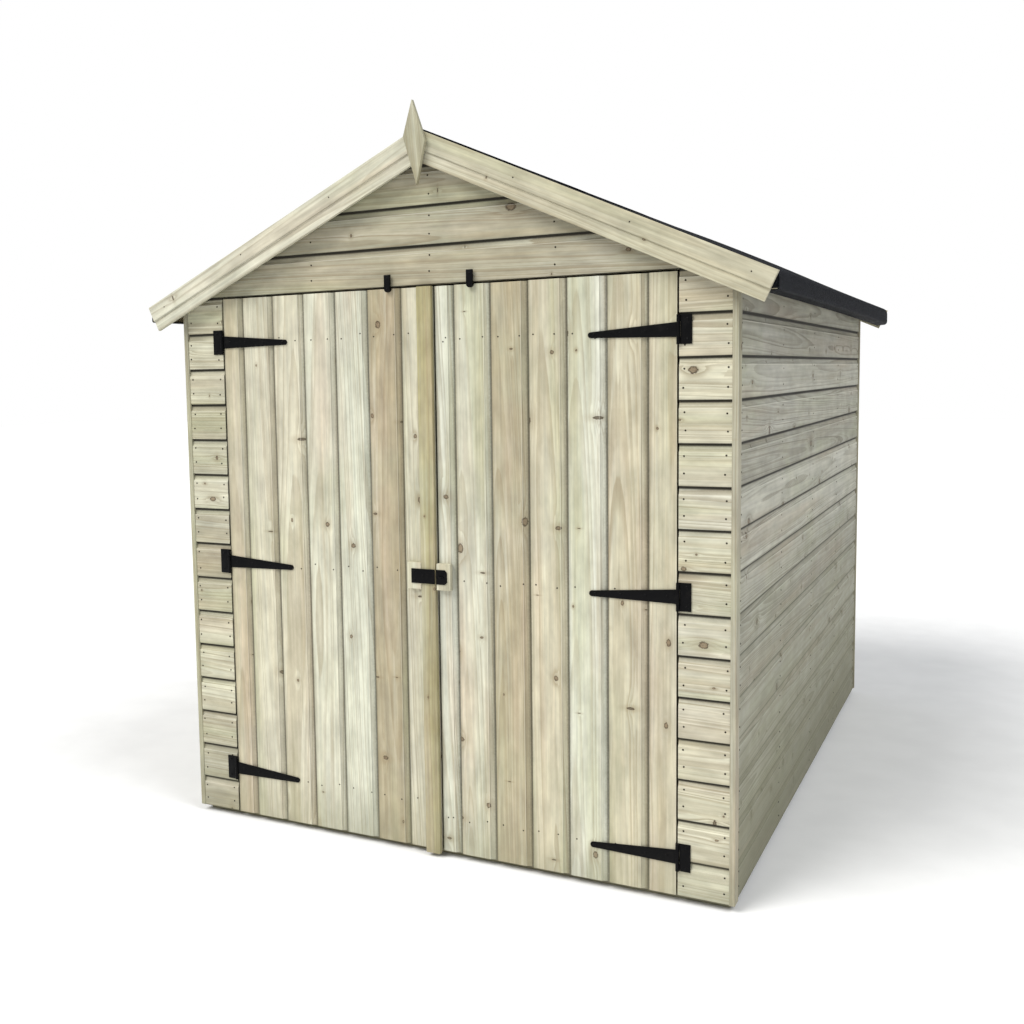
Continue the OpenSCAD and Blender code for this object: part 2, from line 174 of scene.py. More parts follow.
def shiplap(
    cover: float, thick: float, crisp: float = 0.0035, cove: float = 0.022, scoop: float = 0.0055
) -> Profile:
    """Outline of a shiplap board.

    The flat face ends at an arris. From there a quarter ellipse scoops inwards: depth is the
    scoop times the sine of an angle, and the distance past the arris is the cove's height
    times one minus its cosine. A tongue behind the next board's lip closes it.

    Args:
        cover: How much of the board shows, from one seam to the next.
        thick: Thickness of the board.
        crisp: Width of the lip's grime and painted shadow, and of the arris's painted highlight.
        cove: Height of the hollow under the seam.
        scoop: Depth of the hollow.

    Returns:
        The outline, from the lip round the face, hollow, tongue and back.
    """
    tongue, play, ease, edge, lip = 0.007, 0.0006, 0.0008, 0.010, 0.002
    turn = np.linspace(0.0, math.pi / 2, 8)[1:]
    arris, tip, heel = cover - cove, cover + tongue, tongue + play
    rebate = scoop + play
    face = [0.0, ease, crisp, edge, arris - crisp, arris]
    hollow = arris + (cove - lip) * (1 - np.cos(turn))
    back = [tip, tip - crisp, heel + crisp, heel, heel, 0.0]
    across = np.concatenate([face, hollow, [cover, tip], back])
    depth = np.concatenate(
        [[ease] + [0.0] * 5, scoop * np.sin(turn), [scoop] * 2, [thick] * 4 + [rebate] * 2]
    )
    # Seam weights: near 1 on the lip's edge, at the top of the hollow and on the tongue, for grime with painted
    # shade and a near-black painted shadow line at the seam; -1 at the arris for a painted highlight.
    grime_and_shade = (turn / turn[-1]) ** 1.3
    seam = np.concatenate([[1.0, 0.95, 0.45, 0.0, 0.0, -1.0], grime_and_shade, [1.0] * 2, [1.0, 0.0, 0.0, 1.0, 1.0, 1.0]])
    return Profile(depth, across, seam)


def plain_board(width: float, thick: float, ease: float = 0.0012, gap: float = 0.0008) -> Profile:
    """Outline of a square-edged board with its corners taken off, a gap short of its width."""
    w = width - gap
    depth = np.array([ease, 0.0, 0.0, ease, thick - ease, thick, thick, thick - ease])
    across = np.array([0.0, ease, w - ease, w, w, w - ease, ease, 0.0])
    # Seam weight 1 at the eased corners: grime with painted shade and a near-black painted shadow line in the
    # gaps between boards.
    return Profile(depth, across, np.array([1.0, 0.15, 0.15, 1.0, 1.0, 0.15, 0.15, 1.0]))


def moulded_barge(width: float, thick: float, ledge: float, step: float, ease: float) -> Profile:
    """Outline of a barge board: a flat face, a hollow step and a lower ledge.

    The hollow is a quarter circle of the step's radius. Distance across runs down the board.

    Args:
        width: Width across the slope.
        thick: Thickness at the flat face.
        ledge: Width of the lower ledge.
        step: Depth of the step.
        ease: Size of the rounded corners.

    Returns:
        The outline, from the top corner round the face and the back.
    """
    turn = np.linspace(0.0, math.pi / 2, 9)
    down = width - ledge
    depth = np.concatenate([[ease, 0.0], step * (1 - np.cos(turn)), [step, step + ease, thick, thick]])
    hollow = down - step + step * np.sin(turn)
    across = np.concatenate([[0.0, ease], hollow, [width - ease, width, width, 0.0]])
    # The seam weight peaks in the middle of the hollow: grime with painted shade and a faint painted shadow
    # line in the step.
    seam = np.concatenate([[0.2, 0.0], 0.8 * np.sin(turn * 2) ** 2, [0.1, 0.3, 0.3, 0.2]])
    return Profile(depth, across, seam)


def ripple(t: np.ndarray, rng: np.random.Generator) -> np.ndarray:
    """Gentle waves between about -1 and 1: three sines of growing frequency and random phase."""
    rates = np.array([2.1, 5.7, 13.0]) * rng.uniform(0.8, 1.25, 3)
    phases = rng.uniform(0.0, 2 * math.pi, 3)
    return (np.sin(t[..., None] * rates + phases) * np.array([0.55, 0.3, 0.15])).sum(-1)


def board(
    profile: Profile,
    ends: Ends,
    place: Place,
    rng: np.random.Generator,
    stations: int = 12,
    bow: float = 0.0007,
    wane: float = 0.0006,
) -> Shape:
    """Carries an outline along a straight board whose ends may be cut at a slope.

    A point is the corner plus its distance along, depth and distance across, each times its
    direction. The front of the board sinks by up to the bow, and its lip moves by the wane,
    both as gentle waves of the distance along.

    Args:
        profile: The outline.
        ends: Gives the first and last distance along for each distance across.
        place: The board's corner and directions.
        rng: Random numbers for this board.
        stations: Number of sections.
        bow: Largest depth of the waves in the face.
        wane: Largest wander of the lip.

    Returns:
        The closed board with its attributes.
    """
    first, last = ends(profile.across)
    share = np.linspace(0.0, 1.0, stations)[:, None]
    t = first[None, :] * (1 - share) + last[None, :] * share
    front = (profile.depth < profile.depth.max() * 0.5).astype(float)
    lip = (profile.across <= profile.across.min() + 0.001).astype(float)
    depth = profile.depth + front * bow * (0.5 + 0.5 * ripple(t, rng))
    across = profile.across + lip * wane * ripple(t, rng)
    parts = ((t, place.along), (depth, place.inward), (across, place.across))
    sections = np.array(place.corner) + sum(v[..., None] * np.array(d) for v, d in parts)
    wood = np.stack([t - t.mean(), depth, across - profile.across.mean()], -1).reshape(-1, 3)
    seed = np.tile(rng.uniform(0.0, 1.0, 4), (len(wood), 1))
    return Shape(sections.reshape(-1, 3), closed_tube(sections), wood, seed, np.tile(profile.seam, stations))


def straight(start: float, end: float) -> Ends:
    """Square ends at two distances along a board."""
    return lambda across: (np.full_like(across, start), np.full_like(across, end))


def heads(centres: np.ndarray, normal: Direction, radius: float, proud: float, sides: int = 10) -> Shape:
    """Low domed nail or screw heads, one on each centre.

    Each head has three rings of points, at the full radius below the surface, at the full
    radius on it, and at two thirds of the radius at its proud height, with a cap at both ends.

    Args:
        centres: Array (heads, 3) of places on the surface.
        normal: Direction the heads face.
        radius: Radius of a head.
        proud: Height of a head above the surface.
        sides: Number of sides.

    Returns:
        The closed heads; "wood" holds each head's own place, so that each can have its own tone.
    """
    up = np.array(normal) / np.linalg.norm(normal)
    side = np.cross(up, [0.0, 0.0, 1.0] if abs(up[2]) < 0.9 else [1.0, 0.0, 0.0])
    side = side / np.linalg.norm(side)
    angle = np.linspace(0.0, 2 * math.pi, sides, endpoint=False)[:, None]
    ring = (np.cos(angle) * side + np.sin(angle) * np.cross(up, side)) * radius
    rings = np.concatenate([ring - up * proud, ring + up * proud * 0.3, ring * 0.66 + up * proud])
    k, n = len(centres), 3 * sides
    here, after = np.arange(sides), (np.arange(sides) + 1) % sides
    around = np.stack([here, after, after + sides, here + sides], -1)
    offset = np.arange(k) * n
    quads = (np.concatenate([around, around + sides])[None] + offset[:, None, None]).reshape(-1, 4)
    caps = np.concatenate([here[::-1][None] + offset[:, None], (here + 2 * sides)[None] + offset[:, None]])
    scatter = np.stack([(centres * s).sum(-1) % 1.0 for s in (13.7, 31.1, 57.3, 91.9)], -1)
    return Shape(
        (centres[:, None, :] + rings[None]).reshape(-1, 3),
        [tuple(f) for f in quads.tolist() + caps.tolist()],
        np.repeat(centres, n, axis=0),
        np.repeat(scatter, n, axis=0),
        np.zeros(k * n),
    )


def plain_shape(sections: np.ndarray) -> Shape:
    """A closed tube of rings with no grain of its own.

    Args:
        sections: Array (rings, points of a ring, 3).

    Returns:
        The tube; "wood" holds its own points.
    """
    points = sections.reshape(-1, 3)
    seed = np.full((len(points), 4), 0.5)
    return Shape(points, closed_tube(sections), points.copy(), seed, np.zeros(len(points)))


def grid_points(*axes: np.ndarray) -> np.ndarray:
    """Every combination of the given coordinates, as an array (points, 3)."""
    return np.stack(np.meshgrid(*axes, indexing="ij"), -1).reshape(-1, 3)


# ---------------------------------------------------------------- pieces


def write_attributes(mesh: bpy.types.Mesh, wood: np.ndarray, seed: np.ndarray, seam: np.ndarray) -> None:
    """Gives a mesh's points the three timber attributes.

    Args:
        mesh: The mesh.
        wood: Array (points, 3) of places inside the board.
        seed: Array (points, 4) of random numbers.
        seam: Nearness of each point to a seam.
    """
    for key, kind, values, where in (
        ("wood", "FLOAT_VECTOR", wood, "vector"),
        ("seed", "FLOAT_COLOR", seed, "color"),
        ("seam", "FLOAT", seam, "value"),
    ):
        mesh.attributes.new(key, kind, "POINT").data.foreach_set(where, values.astype(np.float32).ravel())


def make_piece(name: str, shape: Shape, finish: "Finish", body: str, *nodes: str) -> bpy.types.Object:
    """Makes a Blender object of a shape and hangs it on its body.

    Args:
        name: Name of the piece.
        shape: Its points, faces and attributes.
        finish: Its finish.
        body: CAD body that it moves with.
        nodes: CAD nodes that it stands for.

    Returns:
        The new object.
    """
    mesh = bpy.data.meshes.new(name)
    mesh.from_pydata(shape.points.tolist(), [], shape.faces)
    write_attributes(mesh, shape.wood, shape.seed, shape.seam)
    return finish_piece(mesh, finish, body, nodes, 32.0)


def finish_piece(
    mesh: bpy.types.Mesh, finish: "Finish", body: str, nodes: tuple[str, ...], sharp: float
) -> bpy.types.Object:
    """Shades a mesh, links its object, parents it to its body and hides the CAD nodes it stands for.

    Args:
        mesh: The finished mesh, in the frame's axes, with the piece's name.
        finish: Its finish.
        body: CAD body that it moves with.
        nodes: CAD nodes that it stands for.
        sharp: Angle in degrees over which an edge stays sharp.

    Returns:
        The new object.
    """
    mesh.materials.append(finish.made())
    mesh.polygons.foreach_set("use_smooth", np.ones(len(mesh.polygons), bool))
    mesh.set_sharp_from_angle(angle=math.radians(sharp))
    mesh.update()
    piece = bpy.data.objects.new(mesh.name, mesh)
    bpy.context.scene.collection.objects.link(piece)
    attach(piece, body)
    if nodes:
        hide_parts(*nodes)
    LOG.info("%s: %d points on %s", piece.name, len(mesh.vertices), body)
    return piece


def node_points(node: str) -> np.ndarray:
    """Points of a CAD node's mesh, as an array (points, 3)."""
    data = FRAME["nodes"][node].data
    co = np.zeros(len(data.vertices) * 3)
    data.vertices.foreach_get("co", co)
    return co.reshape(-1, 3)


def stick_lines(node: str, axis: int) -> np.ndarray:
    """Middle of each stick of a node along one axis.

    The node's coordinates are sorted, and a gap wider than any stick parts one from the next.

    Args:
        node: Name of the node.
        axis: 0, 1 or 2 for x, y or z.

    Returns:
        The middles, lowest first.
    """
    widest = 0.1
    seen = np.unique(node_points(node)[:, axis].round(4))
    parted = np.diff(seen) > widest
    return (seen[np.r_[True, parted]] + seen[np.r_[parted, True]]) / 2


def islands(count: int, edges: np.ndarray) -> np.ndarray:
    """Numbers each point by the lowest point that its edges lead to.

    Args:
        count: Number of points.
        edges: Array (edges, 2) of point numbers.

    Returns:
        One label for each point, the same all over one solid.
    """
    label = np.arange(count)
    while True:
        low = np.minimum(label[edges[:, 0]], label[edges[:, 1]])
        after = label.copy()
        np.minimum.at(after, edges[:, 0], low)
        np.minimum.at(after, edges[:, 1], low)
        after = after[after]
        if np.array_equal(after, label):
            return label
        label = after


def timber_attributes(mesh: bpy.types.Mesh, rng: np.random.Generator, tone: float | None) -> None:
    """Gives each solid of a mesh its place inside the board and its random numbers.

    A board's own axes are the main axes of its points: the longest spread runs along the
    grain, the shortest in from the face. Distances are counted from its middle.

    Args:
        mesh: A merged mesh of one or more sticks.
        rng: Random numbers for this mesh.
        tone: The sticks' place in their finish's tones, or None for a random one each.
    """
    co = np.zeros(len(mesh.vertices) * 3)
    mesh.vertices.foreach_get("co", co)
    co = co.reshape(-1, 3)
    edges = np.zeros(len(mesh.edges) * 2, np.int32)
    mesh.edges.foreach_get("vertices", edges)
    label = islands(len(co), edges.reshape(-1, 2))
    tie_break = np.diag([1e-9, 2e-9, 3e-9])
    wood, seed = np.zeros_like(co), np.zeros((len(co), 4))
    for one in np.unique(label):
        mine = label == one
        local = co[mine] - (co[mine].min(0) + co[mine].max(0)) / 2
        _, axes = np.linalg.eigh(np.cov(local.T) + tie_break)
        axes = axes * np.where(axes[np.abs(axes).argmax(0), range(3)] < 0, -1.0, 1.0)
        wood[mine] = (local @ axes)[:, [2, 0, 1]]
        seed[mine] = rng.uniform(0.0, 1.0, 4)
        if tone is not None:
            seed[mine, 0] = tone
    write_attributes(mesh, wood, seed, np.zeros(len(co)))


@dataclass(frozen=True)
class EasedCopy:
    """A CAD node's shape with its loose triangles merged and its sharp corners eased."""

    node: str
    body: str
    ease: float
    segments: int = 2
    tone: float | None = None
    corner: float = 25.0
    weld: float = 2e-5

    def build(self, finish: "Finish", rng: np.random.Generator) -> bpy.types.Object:
        """Makes the piece that stands for the node.

        Args:
            finish: Its finish.
            rng: Random numbers for its boards.

        Returns:
            The new object.
        """
        work = bmesh.new()
        work.from_mesh(FRAME["nodes"][self.node].data)
        bmesh.ops.remove_doubles(work, verts=work.verts, dist=self.weld)
        bmesh.ops.dissolve_limit(work, angle_limit=math.radians(1.0), verts=work.verts, edges=work.edges)
        limit = math.radians(self.corner)
        sharp = [e for e in work.edges if e.is_manifold and e.calc_face_angle(0.0) > limit]
        shape = {"offset": self.ease, "segments": self.segments, "profile": 0.6}
        bmesh.ops.bevel(work, geom=sharp, affect="EDGES", clamp_overlap=True, **shape)
        mesh = bpy.data.meshes.new(self.node + "_piece")
        work.to_mesh(mesh)
        work.free()
        timber_attributes(mesh, rng, self.tone)
        return finish_piece(mesh, finish, self.body, (self.node,), 40.0)


# ---------------------------------------------------------------- node trees


class Signal:
    """A number, vector or colour in a node tree; arithmetic on it adds Math nodes."""

    def __init__(self, graph: "Graph", socket: Socket) -> None:
        """Keeps the graph and the socket that the signal comes from."""
        self.graph, self.socket = graph, socket

    def __add__(self, other: Any) -> "Signal":
        """This plus another."""
        return self.graph.math("ADD", self, other)

    def __sub__(self, other: Any) -> "Signal":
        """This less another."""
        return self.graph.math("SUBTRACT", self, other)

    def __rsub__(self, other: Any) -> "Signal":
        """Another less this."""
        return self.graph.math("SUBTRACT", other, self)

    def __mul__(self, other: Any) -> "Signal":
        """This times another."""
        return self.graph.math("MULTIPLY", self, other)

    def __truediv__(self, other: Any) -> "Signal":
        """This over another."""
        return self.graph.math("DIVIDE", self, other)

    def __pow__(self, other: Any) -> "Signal":
        """This to a power."""
        return self.graph.math("POWER", self, other)

    def scaled(self, factor: float, plus: float) -> "Signal":
        """This times a factor, plus a number."""
        return self.graph.math("MULTIPLY_ADD", self, factor, plus)


class Graph:
    """A short way to write node trees."""

    def __init__(self, tree: bpy.types.NodeTree) -> None:
        """Keeps the tree that the nodes go into."""
        self.tree = tree

    def feed(self, socket: Socket, value: Any) -> None:
        """Links an input to a signal or an output, or sets it to a plain value.

        Args:
            socket: The input.
            value: A signal, an output socket or a value.
        """
        source = value.socket if isinstance(value, Signal) else value
        if isinstance(source, bpy.types.NodeSocket):
            self.tree.links.new(source, socket)
        else:
            socket.default_value = source

    def add(self, kind: str, inputs: dict | None = None, **settings: Any) -> bpy.types.Node:
        """Adds a node.

        Args:
            kind: Blender's name for the node, without "ShaderNode".
            inputs: Socket name or number to a signal, socket or value.
            settings: Properties of the node.

        Returns:
            The node.
        """
        node = self.tree.nodes.new("ShaderNode" + kind)
        for key, value in settings.items():
            setattr(node, key, value)
        for key, value in (inputs or {}).items():
            self.feed(node.inputs[key], value)
        return node

    def read(self, node: bpy.types.Node, output: int | str = 0) -> Signal:
        """One output of a node."""
        return Signal(self, node.outputs[output])

    def parts(self, kind: str, value: Any) -> list[Signal]:
        """The numbers in a vector or a colour; the kind is "XYZ" or "Color"."""
        return [Signal(self, s) for s in self.add("Separate" + kind, {0: value}).outputs]

    def combined(self, kind: str, *values: Any) -> Signal:
        """A vector or a colour made of numbers; the kind is "XYZ" or "Color"."""
        return self.read(self.add("Combine" + kind, dict(enumerate(values))))

    def math(self, operation: str, *values: Any, clamp: bool = False) -> Signal:
        """The result of a Math node on numbers or signals."""
        return self.read(self.add("Math", dict(enumerate(values)), operation=operation, use_clamp=clamp))

    def vector(self, operation: str, *values: Any) -> Signal:
        """The result of a Vector Math node on vectors or signals."""
        return self.read(self.add("VectorMath", dict(enumerate(values)), operation=operation))

    def remap(
        self, value: Any, lo: float, hi: float, to_lo: float = 0.0, to_hi: float = 1.0, smooth: bool = True
    ) -> Signal:
        """A value moved from one range to another and clamped to it.

        Args:
            value: The value.
            lo: Where the first range starts.
            hi: Where the first range ends.
            to_lo: Where the second range starts.
            to_hi: Where the second range ends.
            smooth: True for soft ends, false for a straight line.

        Returns:
            The moved value.
        """
        kind = "SMOOTHSTEP" if smooth else "LINEAR"
        inputs = dict(enumerate((value, lo, hi, to_lo, to_hi)))
        return self.read(self.add("MapRange", inputs, interpolation_type=kind))

    def mix(self, factor: Any, under: Any, over: Any, blend: str = "MIX") -> Signal:
        """Lays one colour over another.

        Args:
            factor: How much of the second shows, from 0 to 1.
            under: The first colour.
            over: The second colour.
            blend: How they mix.

        Returns:
            The mixed colour.
        """
        node = self.add("Mix", data_type="RGBA", blend_type=blend, clamp_factor=True)
        for index, value in ((0, factor), (6, under), (7, over)):
            self.feed(node.inputs[index], (*value, 1.0) if isinstance(value, tuple) else value)
        return self.read(node, 2)

    def noise(self, at: Signal, scale: float, detail: float = 2.0, rough: float = 0.5) -> Signal:
        """Fractal noise between 0 and 1, about 0.5 on average."""
        inputs = {"Vector": at, "Scale": scale, "Detail": detail, "Roughness": rough}
        return self.read(self.add("TexNoise", inputs), "Fac")

    def ramp(self, value: Signal, stops: tuple[tuple[float, Colour], ...]) -> Signal:
        """A colour picked from stops.

        Args:
            value: What picks it, from 0 to 1.
            stops: Each colour's place and the colour.

        Returns:
            The colour.
        """
        node = self.add("ValToRGB", {0: value})
        band = node.color_ramp
        while len(band.elements) < len(stops):
            band.elements.new(0.5)
        for element, (position, colour) in zip(band.elements, stops):
            element.position = position
            element.color = (*colour, 1.0)
        return self.read(node)


class Kind(Enum):
    """Kinds of socket on a shared group."""

    NUMBER = "NodeSocketFloat"
    VECTOR = "NodeSocketVector"
    COLOUR = "NodeSocketColor"


@dataclass(frozen=True)
class SharedEffect:
    """A shader node group that several finishes place with their own values."""

    name: str
    takes: tuple[tuple[str, Kind], ...]
    gives: tuple[str, ...]
    wire: Callable[[Graph, Signals], Signals]

    def group(self) -> bpy.types.NodeTree:
        """Finds the group's tree, or builds it the first time it is asked for.

        Returns:
            The tree.
        """
        found = bpy.data.node_groups.get(self.name)
        if found is not None:
            return found
        tree = bpy.data.node_groups.new(self.name, "ShaderNodeTree")
        for name, kind in self.takes:
            tree.interface.new_socket(name=name, in_out="INPUT", socket_type=kind.value)
        for name in self.gives:
            tree.interface.new_socket(name=name, in_out="OUTPUT", socket_type=Kind.NUMBER.value)
        source, sink = tree.nodes.new("NodeGroupInput"), tree.nodes.new("NodeGroupOutput")
        graph = Graph(tree)
        made = self.wire(graph, {name: graph.read(source, name) for name, _ in self.takes})
        for name in self.gives:
            graph.feed(sink.inputs[name], made[name])
        return tree

    def place(self, graph: Graph, **values: Any) -> Signals:
        """Puts the group into a material.

        Args:
            graph: The material's graph.
            values: Socket name, with _ for a space, to a value or signal.

        Returns:
            The placed node's outputs, by name.
        """
        inputs = {key.replace("_", " "): value for key, value in values.items()}
        node = graph.add("Group", inputs, node_tree=self.group())
        return {s.name: Signal(graph, s) for s in node.outputs}


def wire_grain(g: Graph, given: Signals) -> Signals:
    """Growth rings, fibre and knots of sawn softwood, in metres inside the board.

    A board is cut from a log whose pith runs beside it, a little askew both ways. The ring
    number is the distance from the pith over the ring spacing, and noise of that distance
    makes some rings wide and some narrow. Slow noise sways the pith, and near a knot the
    rings are pushed outwards by the knot's radius over the square of one plus the squared
    distance. The dark latewood is the last part of each ring, with its own strength.

    Args:
        g: The group's graph.
        given: Its inputs.

    Returns:
        The outputs.
    """
    seed = g.parts("Color", given["Seed"])
    at = g.vector("ADD", given["Wood"], g.vector("MULTIPLY", given["Seed"], (41.0, 59.0, 37.0)))
    part, moved = g.parts("XYZ", given["Wood"]), g.parts("XYZ", at)

    # Knots: one chance in each cell of a grid that is longer along the board than across it.
    along, over = 3.9, 10.5
    cell = g.combined("XYZ", moved[0] * along, moved[2] * over)
    knots = g.add("TexVoronoi", {"Vector": cell, "Scale": 1.0, "Randomness": 0.9}, voronoi_dimensions="2D")
    spot, chance = g.parts("XYZ", knots.outputs["Position"]), g.parts("Color", knots.outputs["Color"])
    size = (chance[1] ** 2.4).scaled(0.007, 0.0022)
    spike = chance[2] ** 2.0
    there = g.math("GREATER_THAN", chance[0], 1.0 - given["Knots"])
    u = (moved[0] - spot[0] / along) / size
    v = (moved[2] - spot[1] / over) / size
    rag = g.noise(at, 230.0, 3.0).scaled(1.1, -0.55)
    squat, broad = u * spike.scaled(1.9, 0.6), v * spike.scaled(-0.5, 1.0)
    away = g.math("SQRT", squat**2.0 + broad**2.0) + rag
    rim = g.remap(away, 1.35, 0.98) - g.remap(away, 0.95, 0.65)
    shove = ((u * 0.16) ** 2.0 + (v * 0.4) ** 2.0 + 1.0) ** -2.0 * size
    push = shove * (there * 2.2)

    # The log: how far each place is from the pith.
    slow = g.vector("MULTIPLY", at, (0.8, 4.0, 4.0))
    sway = g.add("TexNoise", {"Vector": slow, "Scale": 1.0, "Detail": 1.0, "Roughness": 0.4})
    swing = g.parts("Color", sway.outputs["Color"])
    aside, deeper = ((swing[k] - 0.5) * given["Sway"] for k in (0, 1))
    askew = seed[2].scaled(0.06, -0.03) * part[0]
    dive = seed[1].scaled(-0.05, 0.025) * part[0]
    across = part[2] - seed[1].scaled(0.11, -0.055) - askew + aside
    inward = part[1] + (seed[2].scaled(0.06, 0.02) + dive) + deeper
    far = g.math("SQRT", inward**2.0 + across**2.0)

    # Rings and the finer figure.
    fibre = g.noise(g.vector("MULTIPLY", at, (3.0, 130.0, 130.0)), 1.0, 3.0, 0.6)
    uneven = g.noise(g.combined("XYZ", far * 75.0, seed[0] * 40.0), 1.0, 2.0).scaled(3.4, -1.7)
    rings = (far + push + fibre.scaled(0.0022, -0.0011)) / given["Spacing"] + uneven
    share = g.math("FRACT", rings)
    year = g.add("TexWhiteNoise", {"Vector": g.combined("XYZ", g.math("FLOOR", rings), seed[2] * 90.0)})
    hard = g.remap(g.read(year, "Value"), 0.0, 1.0, 0.25, 1.0, smooth=False)
    return {
        "Latewood": g.remap(share, 0.25, 0.9) * g.remap(share, 1.0, 0.92) * hard,
        "Fibre": fibre,
        "Bands": g.noise(g.vector("MULTIPLY", at, (0.9, 27.0, 27.0)), 1.0, 3.0, 0.55),
        "Cast": g.noise(g.vector("MULTIPLY", at, (0.7, 12.0, 12.0)), 1.0, 2.0, 0.5),
        "Mottle": g.noise(g.vector("MULTIPLY", at, (9.0, 24.0, 24.0)), 1.0, 3.0, 0.6),
        "Knot": g.remap(away, 1.1, 0.8) * there,
        "Rim": rim * there,
        "Halo": g.remap(away, 5.0, 1.0) * there,
        "Core": g.math("MULTIPLY", g.noise(at, 420.0, 2.0), chance[2].scaled(-0.9, 1.3), clamp=True),
    }


GRAIN = SharedEffect(
    "timber_grain",
    (
        ("Wood", Kind.VECTOR),
        ("Seed", Kind.COLOUR),
        ("Spacing", Kind.NUMBER),
        ("Knots", Kind.NUMBER),
        ("Sway", Kind.NUMBER),
    ),
    ("Latewood", "Fibre", "Bands", "Cast", "Mottle", "Knot", "Rim", "Halo", "Core"),
    wire_grain,
)


def wire_weather(g: Graph, given: Signals) -> Signals:
    """Patches of green bloom and grey silvering, and a darkening low down, over the whole building.

    Each patch is slow noise over the place in the building, sharpened to soft-edged patches. The
    darkening is strongest at the ground and gone at its set height, with a ragged upper edge.

    Args:
        g: The group's graph.
        given: Its inputs.

    Returns:
        The outputs.
    """
    at = given["Place"]
    elsewhere = g.vector("ADD", at, (7.3, 1.9, 4.4))
    ragged = g.noise(at, 9.0, 3.0).scaled(0.5, -0.25)
    return {
        "Green": g.remap(g.noise(at, 3.1, 4.0, 0.6), 0.48, 0.72),
        "Grey": g.remap(g.noise(elsewhere, 2.2, 4.0, 0.6), 0.4, 0.75),
        "Damp": g.remap(g.parts("XYZ", at)[2] / given["Damp Height"] + ragged, 1.0, 0.0),
        "Grit": g.noise(at, 210.0, 3.0, 0.7),
    }


WEATHER = SharedEffect(
    "weathering",
    (("Place", Kind.VECTOR), ("Damp Height", Kind.NUMBER)),
    ("Green", "Grey", "Damp", "Grit"),
    wire_weather,
)


def new_material(name: str) -> tuple[bpy.types.Material, Graph, bpy.types.Node]:
    """An empty material.

    Args:
        name: Its name.

    Returns:
        The material, its graph and its Principled shader.
    """
    material = bpy.data.materials.new(name)
    material.use_nodes = True
    material.node_tree.nodes.clear()
    graph = Graph(material.node_tree)
    shader = graph.add("BsdfPrincipled")
    output = graph.add("OutputMaterial")
    material.node_tree.links.new(shader.outputs[0], output.inputs[0])
    return material, graph, shader


def relief(graph: Graph, shader: bpy.types.Node, height: Signal, depth: float) -> None:
    """Feeds a height between 0 and 1, worth a depth in metres, to the shader's normal."""
    bump = graph.add("Bump", {"Height": height, "Distance": depth, "Strength": 1.0})
    graph.feed(shader.inputs["Normal"], graph.read(bump))


def object_place(graph: Graph) -> Signal:
    """The place on the whole building, in metres."""
    return graph.read(graph.add("TexCoord"), "Object")


